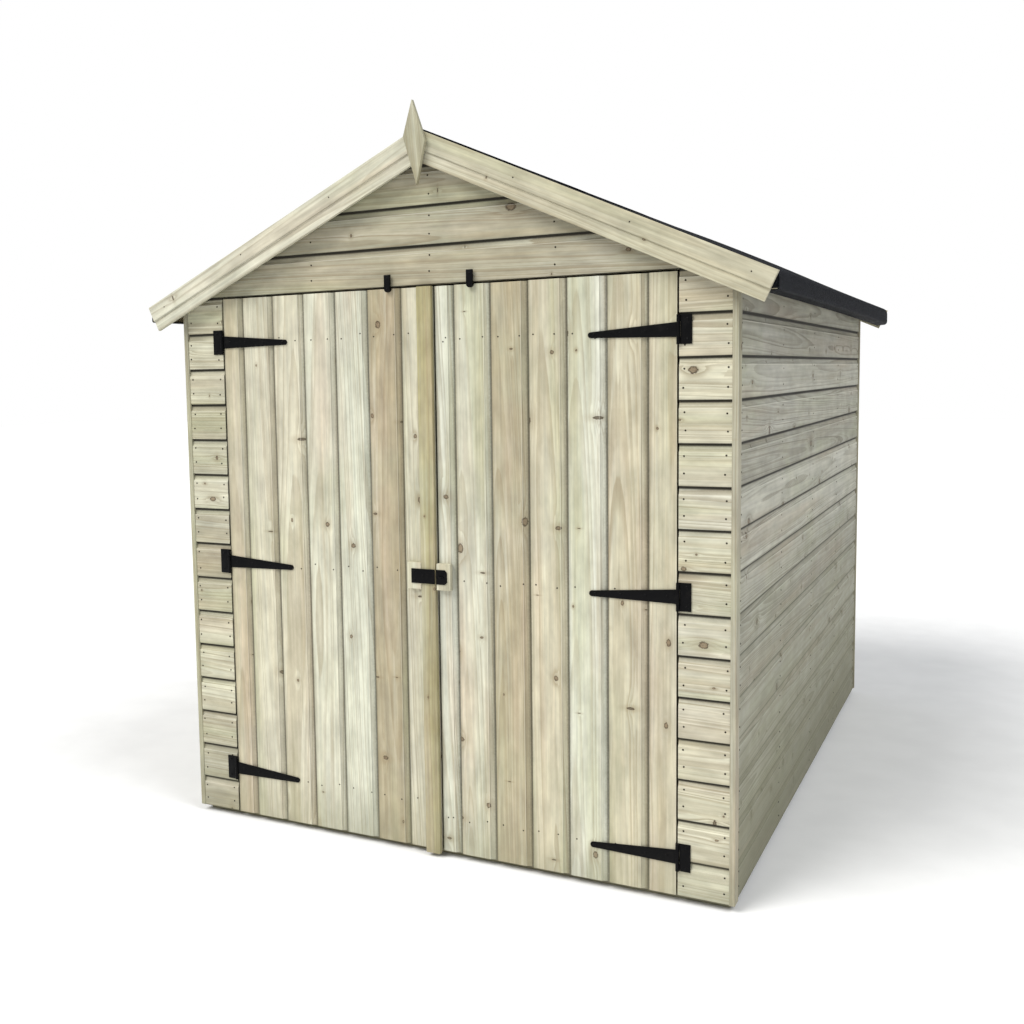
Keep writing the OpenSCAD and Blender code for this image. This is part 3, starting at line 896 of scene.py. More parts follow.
@dataclass(frozen=True)
class TimberFinish:
    """Finish of one kind of timber: what its boards' tones are and how its grain shows."""

    name: str
    tones: tuple[tuple[float, Colour], ...]
    slot: str = "cladding"
    pale: Colour = (0.68, 0.68, 0.55)
    tan: Colour = (0.42, 0.35, 0.22)
    pink: Colour = (0.56, 0.45, 0.33)
    olive: Colour = (0.45, 0.46, 0.29)
    streaks: float = 0.5
    late: Colour = (0.29, 0.215, 0.115)
    late_share: float = 0.45
    knots: float = 0.4
    spacing: float = 0.009
    sway: float = 0.045
    green: float = 0.35
    grey: float = 0.25
    mottle: float = 0.2
    # Strengths of the seams' grime with painted shade, of the near-black painted shadow line in the joints and
    # of the painted highlight on the arrises; then the height and strength of the darkening towards the bottom.
    grime_and_shade_strength: float = 0.7
    line: float = 0.92
    edge: float = 0.35
    low_darkening_height: float = 0.22
    low_darkening: float = 0.3
    rough: float = 0.72
    relief_depth: float = 0.0006

    def build(self) -> bpy.types.Material:
        """Makes the material.

        The tone picks the board's colour; streaks along the grain lean it to pale or tan,
        pink or olive; latewood, knots and weather darken it in turn; grime with painted shade
        near its seams, a near-black painted shadow line in its joints, a painted highlight on
        its arrises and a darkening towards the bottom come last.

        Returns:
            The material.
        """
        material, g, shader = new_material(self.name)
        wood = g.add("Attribute", attribute_name="wood").outputs["Vector"]
        seed = g.add("Attribute", attribute_name="seed").outputs["Color"]
        seam = g.add("Attribute", attribute_name="seam").outputs["Fac"]
        grain = GRAIN.place(g, Wood=wood, Seed=seed, Spacing=self.spacing, Knots=self.knots, Sway=self.sway)
        weather = WEATHER.place(g, Place=object_place(g), Damp_Height=self.low_darkening_height)
        colour = g.ramp(g.parts("Color", seed)[0], self.tones)
        for figure, start, full, lean in (
            ("Bands", 0.52, 0.72, self.pale),
            ("Bands", 0.48, 0.3, self.tan),
            ("Cast", 0.53, 0.7, self.pink),
            ("Cast", 0.47, 0.3, self.olive),
        ):
            colour = g.mix(g.remap(grain[figure], start, full, 0.0, self.streaks), colour, lean)
        bloom, silver = (0.41, 0.43, 0.29), (0.44, 0.44, 0.40)
        colour = g.mix(weather["Green"] * self.green, colour, bloom)
        colour = g.mix(weather["Grey"] * self.grey, colour, silver)
        streak = g.remap(grain["Fibre"], 0.25, 0.75, 0.8, 1.14, smooth=False)
        cloud = g.remap(grain["Mottle"], 0.25, 0.75, 1.0 - self.mottle, 1.0 + self.mottle, smooth=False)
        value = streak * cloud
        colour = g.mix(1.0, colour, g.combined("Color", value, value, value), "MULTIPLY")
        rings = g.remap(grain["Bands"], 0.3, 0.65, self.late_share * 0.6, self.late_share)
        colour = g.mix(grain["Latewood"] * rings, colour, self.late)
        colour = g.mix(grain["Halo"] * 0.28, colour, self.late)
        heart, knot, bark = (0.045, 0.03, 0.018), (0.23, 0.165, 0.10), (0.055, 0.036, 0.02)
        core = g.mix(g.remap(grain["Core"], 0.15, 0.6), heart, knot)
        colour = g.mix(grain["Knot"] * 0.8, colour, core)
        colour = g.mix(grain["Rim"] * 0.85, colour, bark)
        # Grime with painted shade near the seams, its mask from the seam weight and the grit.
        grime_and_shade, gap = (0.085, 0.08, 0.045), (0.012, 0.010, 0.007)
        arris, low_darkening_colour = (0.80, 0.79, 0.68), (0.20, 0.195, 0.12)
        grime_and_shade_mask = g.math("MAXIMUM", seam, 0.0) ** 1.4 * g.remap(weather["Grit"], 0.25, 0.7, 0.6, 1.0)
        colour = g.mix(grime_and_shade_mask * self.grime_and_shade_strength, colour, grime_and_shade)
        # Near-black painted shadow line in the joints, where the seam weight passes 0.7.
        colour = g.mix(g.remap(seam, 0.7, 0.92, 0.0, self.line), colour, gap)
        # Pale painted highlight on the arrises, where the seam weight is below zero.
        colour = g.mix(g.remap(seam, -0.15, -1.0, 0.0, self.edge), colour, arris)
        # Darker towards the bottom, fading out at the set height.
        colour = g.mix(weather["Damp"] * self.low_darkening, colour, low_darkening_colour)
        g.feed(shader.inputs["Base Color"], colour)
        rough = g.remap(grain["Fibre"], 0.2, 0.8, self.rough - 0.08, self.rough + 0.1)
        g.feed(shader.inputs["Roughness"], rough)
        g.feed(shader.inputs["Specular IOR Level"], 0.25)
        ridge = grain["Latewood"] * 0.45 + grain["Fibre"] * 0.55 - grain["Rim"] * 0.5
        relief(g, shader, ridge, self.relief_depth)
        return material


@dataclass(frozen=True)
class FeltFinish:
    """Mineral-surfaced roofing felt: charcoal chips in bitumen."""

    name: str = "mineral_felt"
    slot: str = "roof_felt"
    chip: float = 620.0

    def build(self) -> bpy.types.Material:
        """Makes the material: chips of random tone and faint pale wash marks down the slope."""
        material, g, shader = new_material(self.name)
        place = object_place(g)
        chips = g.add("TexVoronoi", {"Vector": place, "Scale": self.chip})
        pick = g.parts("Color", chips.outputs["Color"])[0]
        colour = g.ramp(
            pick,
            (
                (0.0, (0.0015, 0.0017, 0.0026)),
                (0.6, (0.0035, 0.004, 0.006)),
                (0.88, (0.008, 0.0095, 0.014)),
                (1.0, (0.026, 0.031, 0.044)),
            ),
        )
        wash = g.noise(g.vector("MULTIPLY", place, (1.2, 5.0, 1.2)), 1.0, 4.0, 0.6)
        colour = g.mix(g.remap(wash, 0.45, 0.8, 0.0, 0.3), colour, (0.010, 0.012, 0.017))
        g.feed(shader.inputs["Base Color"], colour)
        g.feed(shader.inputs["Roughness"], g.remap(pick, 0.0, 1.0, 0.95, 0.6))
        g.feed(shader.inputs["Specular IOR Level"], 0.1)
        relief(g, shader, 1.0 - g.read(chips, "Distance"), 0.0004)
        return material


@dataclass(frozen=True)
class MetalFinish:
    """Painted or plated steel with a slightly uneven surface."""

    name: str
    paint: Colour
    worn: Colour
    wear: float
    metallic: float
    rough: float
    shine: float = 0.5
    slot: str = "black_ironwork"
    peel: float = 420.0

    def build(self) -> bpy.types.Material:
        """Makes the material: a fine uneven coat, with worn or dusty patches of another tone."""
        material, g, shader = new_material(self.name)
        place = object_place(g)
        weather = WEATHER.place(g, Place=place, Damp_Height=0.05)
        patch = g.remap(g.noise(place, 38.0, 5.0, 0.65), 0.62 - self.wear * 0.4, 0.82 - self.wear * 0.3)
        colour = g.mix(patch * g.remap(weather["Grit"], 0.3, 0.7), self.paint, self.worn)
        rough = g.remap(patch, 0.0, 1.0, self.rough, min(1.0, self.rough + 0.25))
        g.feed(shader.inputs["Base Color"], colour)
        g.feed(shader.inputs["Roughness"], rough)
        g.feed(shader.inputs["Metallic"], self.metallic)
        g.feed(shader.inputs["Specular IOR Level"], self.shine)
        relief(g, shader, g.noise(place, self.peel, 2.0), 0.00012)
        return material


class Finish(Enum):
    """Every finish of the shed."""

    CLADDING = TimberFinish(
        "shiplap_front",
        (
            (0.0, (0.35, 0.33, 0.24)),
            (0.2, (0.42, 0.385, 0.28)),
            (0.4, (0.47, 0.45, 0.33)),
            (0.6, (0.62, 0.60, 0.46)),
            (0.8, (0.57, 0.52, 0.39)),
            (1.0, (0.70, 0.69, 0.57)),
        ),
        pink=(0.54, 0.475, 0.355),
        late=(0.215, 0.16, 0.085),
        late_share=0.6,
        grime_and_shade_strength=0.55,
        knots=0.55,
    )
    SIDE = TimberFinish(
        "shiplap_weathered",
        (
            (0.0, (0.33, 0.32, 0.26)),
            (0.5, (0.43, 0.42, 0.35)),
            (1.0, (0.52, 0.51, 0.43)),
        ),
        pale=(0.55, 0.54, 0.47),
        tan=(0.28, 0.255, 0.185),
        pink=(0.42, 0.36, 0.28),
        olive=(0.36, 0.37, 0.27),
        late=(0.13, 0.11, 0.075),
        late_share=0.6,
        grime_and_shade_strength=0.4,
        knots=0.65,
        spacing=0.008,
        sway=0.045,
        grey=0.4,
        mottle=0.15,
        edge=0.3,
        low_darkening_height=1.3,
        low_darkening=0.68,
        relief_depth=0.0009,
    )
    DOOR = TimberFinish(
        "door_boards",
        (
            (0.0, (0.38, 0.325, 0.21)),
            (0.25, (0.50, 0.455, 0.32)),
            (0.5, (0.60, 0.565, 0.43)),
            (0.75, (0.62, 0.63, 0.515)),
            (1.0, (0.70, 0.70, 0.60)),
        ),
        knots=0.5,
        late=(0.25, 0.18, 0.09),
        late_share=0.46,
        green=0.3,
        line=0.5,
        edge=0.25,
    )
    PLANED = TimberFinish(
        "planed_softwood",
        (
            (0.0, (0.37, 0.33, 0.17)),
            (0.15, (0.37, 0.35, 0.26)),
            (0.3, (0.48, 0.44, 0.31)),
            (0.6, (0.60, 0.58, 0.44)),
            (1.0, (0.72, 0.72, 0.63)),
        ),
        slot="planed_trim",
        knots=0.5,
        late=(0.23, 0.17, 0.09),
        late_share=0.55,
        spacing=0.008,
        streaks=0.4,
        green=0.3,
        grime_and_shade_strength=0.55,
        line=0.2,
        relief_depth=0.0004,
    )
    FRAMING = TimberFinish(
        "sawn_framing",
        ((0.0, (0.36, 0.33, 0.22)), (0.5, (0.45, 0.42, 0.29)), (1.0, (0.52, 0.48, 0.35))),
        slot="framing",
        knots=0.45,
        green=0.45,
        rough=0.82,
    )
    FLOOR = TimberFinish(
        "floor_softwood",
        ((0.0, (0.48, 0.41, 0.27)), (0.5, (0.57, 0.51, 0.36)), (1.0, (0.64, 0.59, 0.44))),
        slot="floor_boards",
        knots=0.45,
        green=0.15,
        low_darkening_height=0.001,
    )
    FELT = FeltFinish()
    IRON = MetalFinish(
        "black_japanned_iron", (0.0018, 0.0018, 0.0022), (0.008, 0.0075, 0.007), 0.25, 0.0, 0.42, 0.1
    )
    NAIL = MetalFinish("weathered_nail", (0.013, 0.010, 0.007), (0.020, 0.012, 0.006), 0.8, 0.1, 0.6, 0.2)

    def made(self) -> bpy.types.Material:
        """The Blender material, built the first time it is asked for."""
        return bpy.data.materials.get(self.value.name) or self.value.build()


# ---------------------------------------------------------------- the building


@dataclass(frozen=True)
class Roofline:
    """The pitched roof's lines, read from the roof boards' box."""

    pitch: float
    ridge: float
    deck: float
    eaves: float
    verge: float

    @classmethod
    def read(cls) -> "Roofline":
        """Reads the roof from the frame.

        Returns:
            The roof's lines. The pitch is the slope that takes the ridge down to the lower edge
            of the boards, their thickness being measured square to it.
        """
        low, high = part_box("roof_right")
        deck = 0.012
        angle = math.radians(24.7)
        drop = (high.z - low.z - deck / math.cos(angle)) / (high.x - low.x)
        return cls(math.atan(drop), high.z, deck, high.x, high.y)

    @property
    def rise(self) -> float:
        """Height lost for each unit away from the ridge."""
        return math.tan(self.pitch)

    @property
    def plumb(self) -> float:
        """Vertical thickness of a layer that is one unit thick square to the slope."""
        return 1.0 / math.cos(self.pitch)

    def under(self, x: float) -> float:
        """Height of the underside of the roof boards at a distance from the middle."""
        return self.ridge - self.rise * x - self.deck * self.plumb


@dataclass
class Cladding:
    """Shiplap boards of the walls, from the lowest course up to the roof."""

    roof: Roofline
    rng: np.random.Generator
    first: float = 0.103
    course: float = 0.115
    thick: float = 0.012
    nail: float = 0.0026
    nails: list = field(default_factory=list)

    def levels(self, low: float, high: float) -> list[tuple[float, float]]:
        """Lower and upper seam of each course between two heights.

        Args:
            low: Bottom of the lowest board.
            high: Height that the last board passes.

        Returns:
            Pairs of heights. The first board is the narrow one where it starts at the ground.
        """
        found, z = [], low
        cover = self.first if low < 0.1 else self.course
        while z < high - 0.004:
            found.append((z, z + cover))
            z, cover = z + cover, self.course
        return found

    def wall(
        self,
        span: tuple[float, float],
        low: float,
        high: float,
        place: Callable[[float], Place],
        tones: tuple[float, float] = (0.0, 1.0),
        slope: bool = False,
        crisp: float = 0.0035,
    ) -> Shape:
        """Boards of one wall.

        Args:
            span: First and last distance along the wall.
            low: Bottom of the lowest board.
            high: Top of the wall.
            place: Gives a board's place from its height.
            tones: Range of the boards' places in their finish's tones.
            slope: True where the boards run up under the roof, their ends cut to its slope.
            crisp: Width of the grime and painted shadow on the boards' lips, and of the painted highlight on
                their arrises.

        Returns:
            All the boards as one shape.
        """
        boards = []
        for z0, z1 in self.levels(low, high):
            profile = shiplap(z1 - z0, self.thick, crisp).clipped(high - z0 - 0.0005)
            slack = self.rng.uniform(0.0, 0.0007, 2)

            def ends(across: np.ndarray) -> tuple[np.ndarray, np.ndarray]:
                """Ends of a board at each distance across: the wall's end or the roof's line."""
                first = np.full_like(across, span[0] + slack[0])
                last = np.full_like(across, span[1] - slack[1])
                if slope:
                    reach = (self.roof.under(0.0) - z0 - across) / self.roof.rise - 0.0005
                    first, last = np.maximum(first, -reach), np.minimum(last, reach)
                return first, last

            length = span[1] - span[0]
            made = board(profile, ends, place(z0), self.rng, stations=max(4, int(length / 0.08)))
            made.seed[:, 0] = tones[0] + (tones[1] - tones[0]) * made.seed[:, 0]
            boards.append(made)
        return join(boards)

    def nail_rows(self, low: float, high: float, shares: tuple[float, float] = (0.3, 0.72)) -> np.ndarray:
        """Heights of the two nails in each course."""
        rows = [z0 + (z1 - z0) * s for z0, z1 in self.levels(low, high) for s in shares]
        return np.array([row for row in rows if row < high - 0.02])

    def build(self) -> None:
        """Makes the six walls' cladding and its nails."""
        corner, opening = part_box("front_wall_right")[1].x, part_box("front_wall_right")[0].x
        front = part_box("front_wall_right")[0].y
        low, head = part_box("front_wall_right")[0].z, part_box("front_wall_right")[1].z
        top = self.roof.under(0.0)

        def on_front(z: float) -> Place:
            """Place of a front board."""
            return Place((0.0, front, z), (1, 0, 0), (0, 1, 0), (0, 0, 1))

        halves = (("left", (-corner, -opening), (0.0, 0.65)), ("right", (opening, corner), (0.5, 1.0)))
        for side, span, tones in halves:
            shape = self.wall(span, low, head, on_front, tones)
            make_piece(f"shiplap_front_{side}", shape, Finish.CLADDING, "shed", f"front_wall_{side}")
        # The gable's boards take the darker part of the tones: partly weathering, partly painted shade under
        # the roof's overhang.
        gable = self.wall((-corner, corner), head, top, on_front, (0.0, 0.45), slope=True)
        make_piece("shiplap_gable", gable, Finish.CLADDING, "shed", "front_gable")

        rows = self.nail_rows(low, head)
        for x in (opening + 0.016, corner - 0.013):
            for sign in (-1.0, 1.0):
                self.scatter(grid_points(np.array([sign * x]), np.array([front]), rows), FORWARD)
        gable_rows = self.nail_rows(head, top)
        points = grid_points(np.array([-0.79, -0.40, 0.012, 0.40, 0.79]), np.array([front]), gable_rows)
        inside = np.abs(points[:, 0]) < (top - points[:, 2]) / self.roof.rise - 0.06
        self.scatter(points[inside], FORWARD)

        studs = stick_lines("side_studs", 1)
        for side, sign in SIDES:
            box_low, box_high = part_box(f"{side}_wall")
            face = box_low.x if sign < 0 else box_high.x
            gap = 0.004

            def on_side(z: float) -> Place:
                """Place of a side board."""
                return Place((face, 0.0, z), (0, 1, 0), (-sign, 0, 0), (0, 0, 1))

            span = (box_low.y + gap, box_high.y - gap)
            # The side walls get a wider painted shadow under each lip and a wider painted highlight on each
            # arris.
            shape = self.wall(span, box_low.z, self.roof.under(abs(face)), on_side, crisp=0.006)
            make_piece(f"shiplap_{side}", shape, Finish.SIDE, "shed", f"{side}_wall")
            rows = self.nail_rows(box_low.z, box_high.z)
            self.scatter(grid_points(np.array([face]), studs, rows), (sign, 0, 0))

        box_low, box_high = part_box("back_wall")
        back = box_high.y

        def on_back(z: float) -> Place:
            """Place of a back board."""
            return Place((0.0, back, z), (1, 0, 0), (0, -1, 0), (0, 0, 1))

        shape = self.wall((box_low.x, box_high.x), box_low.z, top, on_back, slope=True)
        make_piece("shiplap_back", shape, Finish.SIDE, "shed", "back_wall")
        points = grid_points(stick_lines("back_studs", 0), np.array([back]), self.nail_rows(box_low.z, top))
        inside = np.abs(points[:, 0]) < (top - points[:, 2]) / self.roof.rise - 0.06
        self.scatter(points[inside], BACKWARD)
        make_piece("cladding_nails", join(self.nails), Finish.NAIL, "shed")

    def scatter(self, points: np.ndarray, normal: tuple[float, float, float]) -> None:
        """Drives nails at points, each off its line by a few millimetres.

        Args:
            points: Array (nails, 3).
            normal: Direction the nails face.
        """
        slip = self.rng.normal(0.0, 0.0022, points.shape) * (np.array(normal) == 0)
        self.nails.append(heads(points + slip, normal, self.nail, 0.0006))


@dataclass
class DoorLeaf:
    """One ledged door: upright shiplap boards, their nails and the ledges behind them."""

    side: str
    rng: np.random.Generator
    seams: tuple[float, ...]
    tones: tuple[float, ...]
    thick: float = 0.012

    def build(self) -> None:
        """Makes the leaf's boards and nails. The face of each board lies in the CAD leaf's front."""
        low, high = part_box(f"{self.side}_door")
        body = f"{self.side}_leaf"
        lines = [low.x, *self.seams, high.x]
        boards = []
        for index, (x0, x1) in enumerate(zip(lines[:-1], lines[1:])):
            last = index == len(lines) - 2
            profile = shiplap(x1 - x0 + (0.022 if last else 0.0), self.thick).clipped(x1 - x0 if last else 9.0)
            place = Place((x0, low.y, 0.0), (0, 0, 1), (0, 1, 0), (1, 0, 0))
            slip = self.rng.uniform(0.0, 0.0012, 2)
            ends = straight(low.z + slip[0], high.z - slip[1])
            shape = board(profile, ends, place, self.rng, 26, 0.0006, 0.0005)
            shape.seed[:, 0] = self.tones[index]
            boards.append(shape)
        make_piece(f"{self.side}_leaf_boards", join(boards), Finish.DOOR, body, f"{self.side}_door")
        ledges = stick_lines(f"{self.side}_door_ledges", 2)
        wide = [(a, b) for a, b in zip(lines[:-1], lines[1:]) if b - a > 0.06]
        columns = np.array([x for a, b in wide for x in (a + 0.020, b - 0.030)])
        points = grid_points(columns, np.array([low.y]), ledges)
        points = points + self.rng.normal(0.0, 1.0, points.shape) * np.array([0.004, 0.0, 0.006])
        make_piece(f"{self.side}_leaf_nails", heads(points, FORWARD, 0.0022, 0.0006), Finish.NAIL, body)


@dataclass
class Bargework:
    """Barge boards of both gables, swept from their moulded outline."""

    roof: Roofline
    rng: np.random.Generator
    width: float = 0.084
    ledge: float = 0.032
    step: float = 0.005
    ease: float = 0.0012

    def build(self) -> None:
        """Makes two boards on each gable and their nails.

        Distance along runs down the slope. The upper end is cut upright on the middle line,
        so it starts where the distance along, less the share of the distance across that
        leans over it, meets that line. The lower end is cut square.
        """
        nails = []
        for end, facing in (("front", -1.0), ("back", 1.0)):
            low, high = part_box(f"{end}_barges")
            face = low.y if facing < 0 else high.y
            thick = high.y - low.y
            profile = moulded_barge(self.width, thick, self.ledge, self.step, self.ease)
            run = high.x / math.cos(self.roof.pitch)
            boards = []
            for sign in (-1.0, 1.0):
                c, s = math.cos(self.roof.pitch), math.sin(self.roof.pitch)
                place = Place((0.0, face, high.z), (sign * c, 0, -s), (0, -facing, 0), (-sign * s, 0, -c))

                def ends(across: np.ndarray) -> tuple[np.ndarray, np.ndarray]:
                    """Upright cut at the ridge, square cut at the eaves."""
                    return (0.0005 + across * s) / c, np.full_like(across, run)

                made = board(profile, ends, place, self.rng, 30, 0.0005, 0.0004)
                made.seed[:, 0] = 0.72 if sign < 0 else 0.4
                boards.append(made)
                for t, b in ((0.34, 0.028), (0.70, 0.024), (run - 0.06, 0.027)):
                    spot = np.array(place.corner) + t * np.array(place.along) + b * np.array(place.across)
                    nails.append((spot, facing))
            make_piece(f"{end}_barge_boards", join(boards), Finish.PLANED, "shed", f"{end}_barges")
        made = [heads(np.array([p for p, f in nails if f == d]), (0, d, 0), 0.002, 0.0006) for d in (-1.0, 1.0)]
        make_piece("barge_nails", join(made), Finish.NAIL, "shed")


@dataclass
class RoofCovering:
    """Roof boards seen from inside, and the three sheets of felt."""

    roof: Roofline
    rng: np.random.Generator
    deck_board: float = 0.1
    felt: float = 0.003
    fold: float = 0.026
    curl: float = 0.007
    tuck: float = 0.034
    swell: float = 0.010
    sag: float = 0.016
    ridge_strip: float = 0.300

    def build(self) -> None:
        """Makes the roof boards and the felt."""
        for side, sign in SIDES:
            self.deck(side, sign)
            self.slope_sheet(side, sign)
        self.ridge_sheet()

    def deck(self, side: str, sign: float) -> None:
        """Boards of one slope, running along the ridge, with a fine groove between them."""
        c, s = math.cos(self.roof.pitch), math.sin(self.roof.pitch)
        length = self.roof.eaves / c
        count = round(length / self.deck_board)
        width = (length - 0.008) / count
        boards = []
        for k in range(count):
            t = 0.006 + k * width
            corner = (sign * t * c, 0.0, self.roof.ridge - t * s)
            place = Place(corner, (0, 1, 0), (-sign * s, 0, -c), (sign * c, 0, -s))
            profile = plain_board(width, self.roof.deck)
            ends = straight(-self.roof.verge, self.roof.verge)
            boards.append(board(profile, ends, place, self.rng, 6, 0.0, 0.0))
        make_piece(f"roof_boards_{side}", join(boards), Finish.FRAMING, "shed", f"roof_{side}")

    def sheet(self, outer: np.ndarray, sign: float, lift: Lift) -> Shape:
        """A sheet carried along the ridge from a line of its outer face.

        The inner face is the outer one moved by the thickness along the line's own normal,
        which is its direction turned by a quarter towards the roof.

        Args:
            outer: Array (points, 2) of x and z.
            sign: 1 where the line runs towards +x, -1 where it runs the other way.
            lift: Gives the height to add at each share along the line and share along the ridge.

        Returns:
            The closed sheet.
        """
        stations = 72
        way = np.gradient(outer, axis=0)
        way = way / np.linalg.norm(way, axis=1, keepdims=True)
        inner = outer + sign * self.felt * np.stack([way[:, 1], -way[:, 0]], -1)
        loop = np.concatenate([outer, inner[::-1]])
        share = np.linspace(0.0, 1.0, len(outer))
        share = np.concatenate([share, share[::-1]])[None, :]
        down = np.linspace(0.0, 1.0, stations)[:, None]
        z = loop[None, :, 1] + lift(share, down)
        x = np.broadcast_to(loop[:, 0], z.shape)
        y = np.broadcast_to(self.roof.verge * (2 * down - 1), z.shape)
        sections = np.stack([x, y, z], -1)
        return plain_shape(sections)

    def slope_sheet(self, side: str, sign: float) -> None:
        """One slope's sheet: down the boards, round the fold, down the eaves and under them.

        The fold is an arc that turns from the slope's direction to straight down, and a
        smaller one turns the foot inwards. The middle of the slope swells up a little, as a
        bell of the share down it times a half sine along the ridge, and the foot sags towards
        the rear with the square of the share along the ridge. A flap is folded round each
        lower corner, over the ends of the boards and the batten.
        """
        low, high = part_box(f"felt_{side}")
        outer_x, foot = max(abs(low.x), abs(high.x)), low.z
        over = self.felt * self.roof.plumb
        angle = np.linspace(math.pi / 2 - self.roof.pitch, 0.0, 9)
        centre = np.array([outer_x - self.fold, 0.0])
        centre[1] = self.roof.ridge + over - self.roof.rise * centre[0] - self.fold * self.roof.plumb
        arc = centre + self.fold * np.stack([np.cos(angle), np.sin(angle)], -1)
        x = np.linspace(0.004, arc[0, 0] - 0.004, 40)
        slope = np.stack([x, self.roof.ridge + over - self.roof.rise * x], -1)
        turn = np.linspace(0.0, math.pi / 2, 6)
        curl = np.array([outer_x - self.curl, foot + self.curl - 0.002])
        hook = curl + self.curl * np.stack([np.cos(turn), -np.sin(turn)], -1)
        drop = np.stack([np.full(4, outer_x), np.linspace(arc[-1, 1] - 0.004, hook[0, 1] + 0.004, 4)], -1)
        under = np.linspace(hook[-1, 0] - 0.004, hook[-1, 0] - self.tuck, 3)
        tuck = np.stack([under, np.full(3, hook[-1, 1])], -1)
        outer = np.concatenate([slope, arc, drop, hook, tuck])
        bend = len(slope) / len(outer)
        phase = self.rng.uniform(0.0, 6.0)

        def lift(share: np.ndarray, down: np.ndarray) -> np.ndarray:
            """Swell of the slope, ripples and sag of the foot."""
            bell = np.exp(-(((share / bend) - 0.66) / 0.2) ** 2)
            swell = self.swell * bell * np.sin(math.pi * down)
            waves = 0.0009 * np.sin(down * 17.0 + phase + share * 9.0) * np.clip(1.0 - share / bend, 0.0, 1.0)
            return swell + waves - self.sag * down**2 * np.clip((share - bend) / (1 - bend), 0.0, 1.0) ** 2

        line = self.roof.ridge - self.roof.rise * np.array([0.95, outer_x])
        edge = outer_x - 0.0015
        upper = [(0.95, line[0]), (edge, line[1] - 0.011)]
        lower = [(edge, foot + 0.003), (0.984, foot + 0.003), (0.95, line[0] - 0.013)]
        flap = np.array(upper + lower) * np.array([sign, 1.0])
        shapes = [self.sheet(outer * np.array([sign, 1.0]), sign, lift)]
        for end in (-1.0, 1.0):
            rings = [np.insert(flap, 1, end * (self.roof.verge + out), axis=1) for out in (0.0, 0.0008)]
            shapes.append(plain_shape(np.array(rings)))
        make_piece(f"felt_sheet_{side}", join(shapes), Finish.FELT, "shed", f"felt_{side}")

    def ridge_sheet(self) -> None:
        """The strip over the ridge: its height falls with the root of x squared plus a small square."""
        reach = self.ridge_strip / self.roof.plumb
        x = np.sinh(np.linspace(-4.0, 4.0, 61)) / math.sinh(4.0) * reach
        round_over = 0.006
        fall = self.roof.rise * (np.sqrt(x**2 + round_over**2) - 0.001)
        z = self.roof.ridge + 2 * self.felt * self.roof.plumb - fall

        def lift(share: np.ndarray, down: np.ndarray) -> np.ndarray:
            """Slow waves along the strip's edges."""
            return 0.0008 * (1.0 + np.sin(down * 23.0 + share * 3.0)) * (2 * share - 1) ** 4

        shape = self.sheet(np.stack([x, z], -1), 1.0, lift)
        make_piece("felt_ridge_strip", shape, Finish.FELT, "shed", "felt_ridge")


@dataclass
class FloorBoards:
    """Floor boards laid over the bearers, front to back."""

    rng: np.random.Generator
    cover: float = 0.117

    def build(self) -> None:
        """Makes the boards, each a square-edged section carried from the door to the back wall."""
        low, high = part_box("floor")
        count = round((high.x - low.x) / self.cover)
        width = (high.x - low.x) / count
        boards = [
            board(
                plain_board(width, high.z - low.z, 0.001, 0.0015),
                straight(low.y, high.y),
                Place((low.x + k * width, 0.0, high.z), (0, 1, 0), (0, 0, -1), (1, 0, 0)),
                self.rng,
                8,
                0.0004,
                0.0,
            )
            for k in range(count)
        ]
        make_piece("floor_boarding", join(boards), Finish.FLOOR, "shed", "floor")


@dataclass
class Joinery:
    """Every stick that keeps its CAD shape, with its corners eased."""

    rng: np.random.Generator
    planed: tuple[tuple[str, str, float], ...] = (
        ("front_trims", "shed", 0.15),
        ("back_trims", "shed", 0.2),
        ("front_finial", "shed", 0.1),
        ("cover_strip", "left_leaf", 0.0),
        ("latch_block_left", "left_leaf", 0.55),
        ("latch_block_right", "right_leaf", 0.5),
    )
    sawn: tuple[tuple[str, str], ...] = (
        ("floor_bearers", "shed"),
        ("front_posts", "shed"),
        ("front_lintel", "shed"),
        ("front_rafters", "shed"),
        ("side_studs", "shed"),
        ("side_rails", "shed"),
        ("back_studs", "shed"),
        ("back_rails", "shed"),
        ("back_rafters", "shed"),
        ("roof_beams", "shed"),
        ("eaves_battens", "shed"),
        ("verge_battens", "shed"),
        ("left_door_ledges", "left_leaf"),
        ("right_door_ledges", "right_leaf"),
    )

    def build(self) -> None:
        """Makes the planed trims and the sawn framing."""
        for node, body, tone in self.planed:
            EasedCopy(node, body, 0.0013, tone=tone).build(Finish.PLANED, self.rng)
        for node, body in self.sawn:
            EasedCopy(node, body, 0.0008, 1).build(Finish.FRAMING, self.rng)


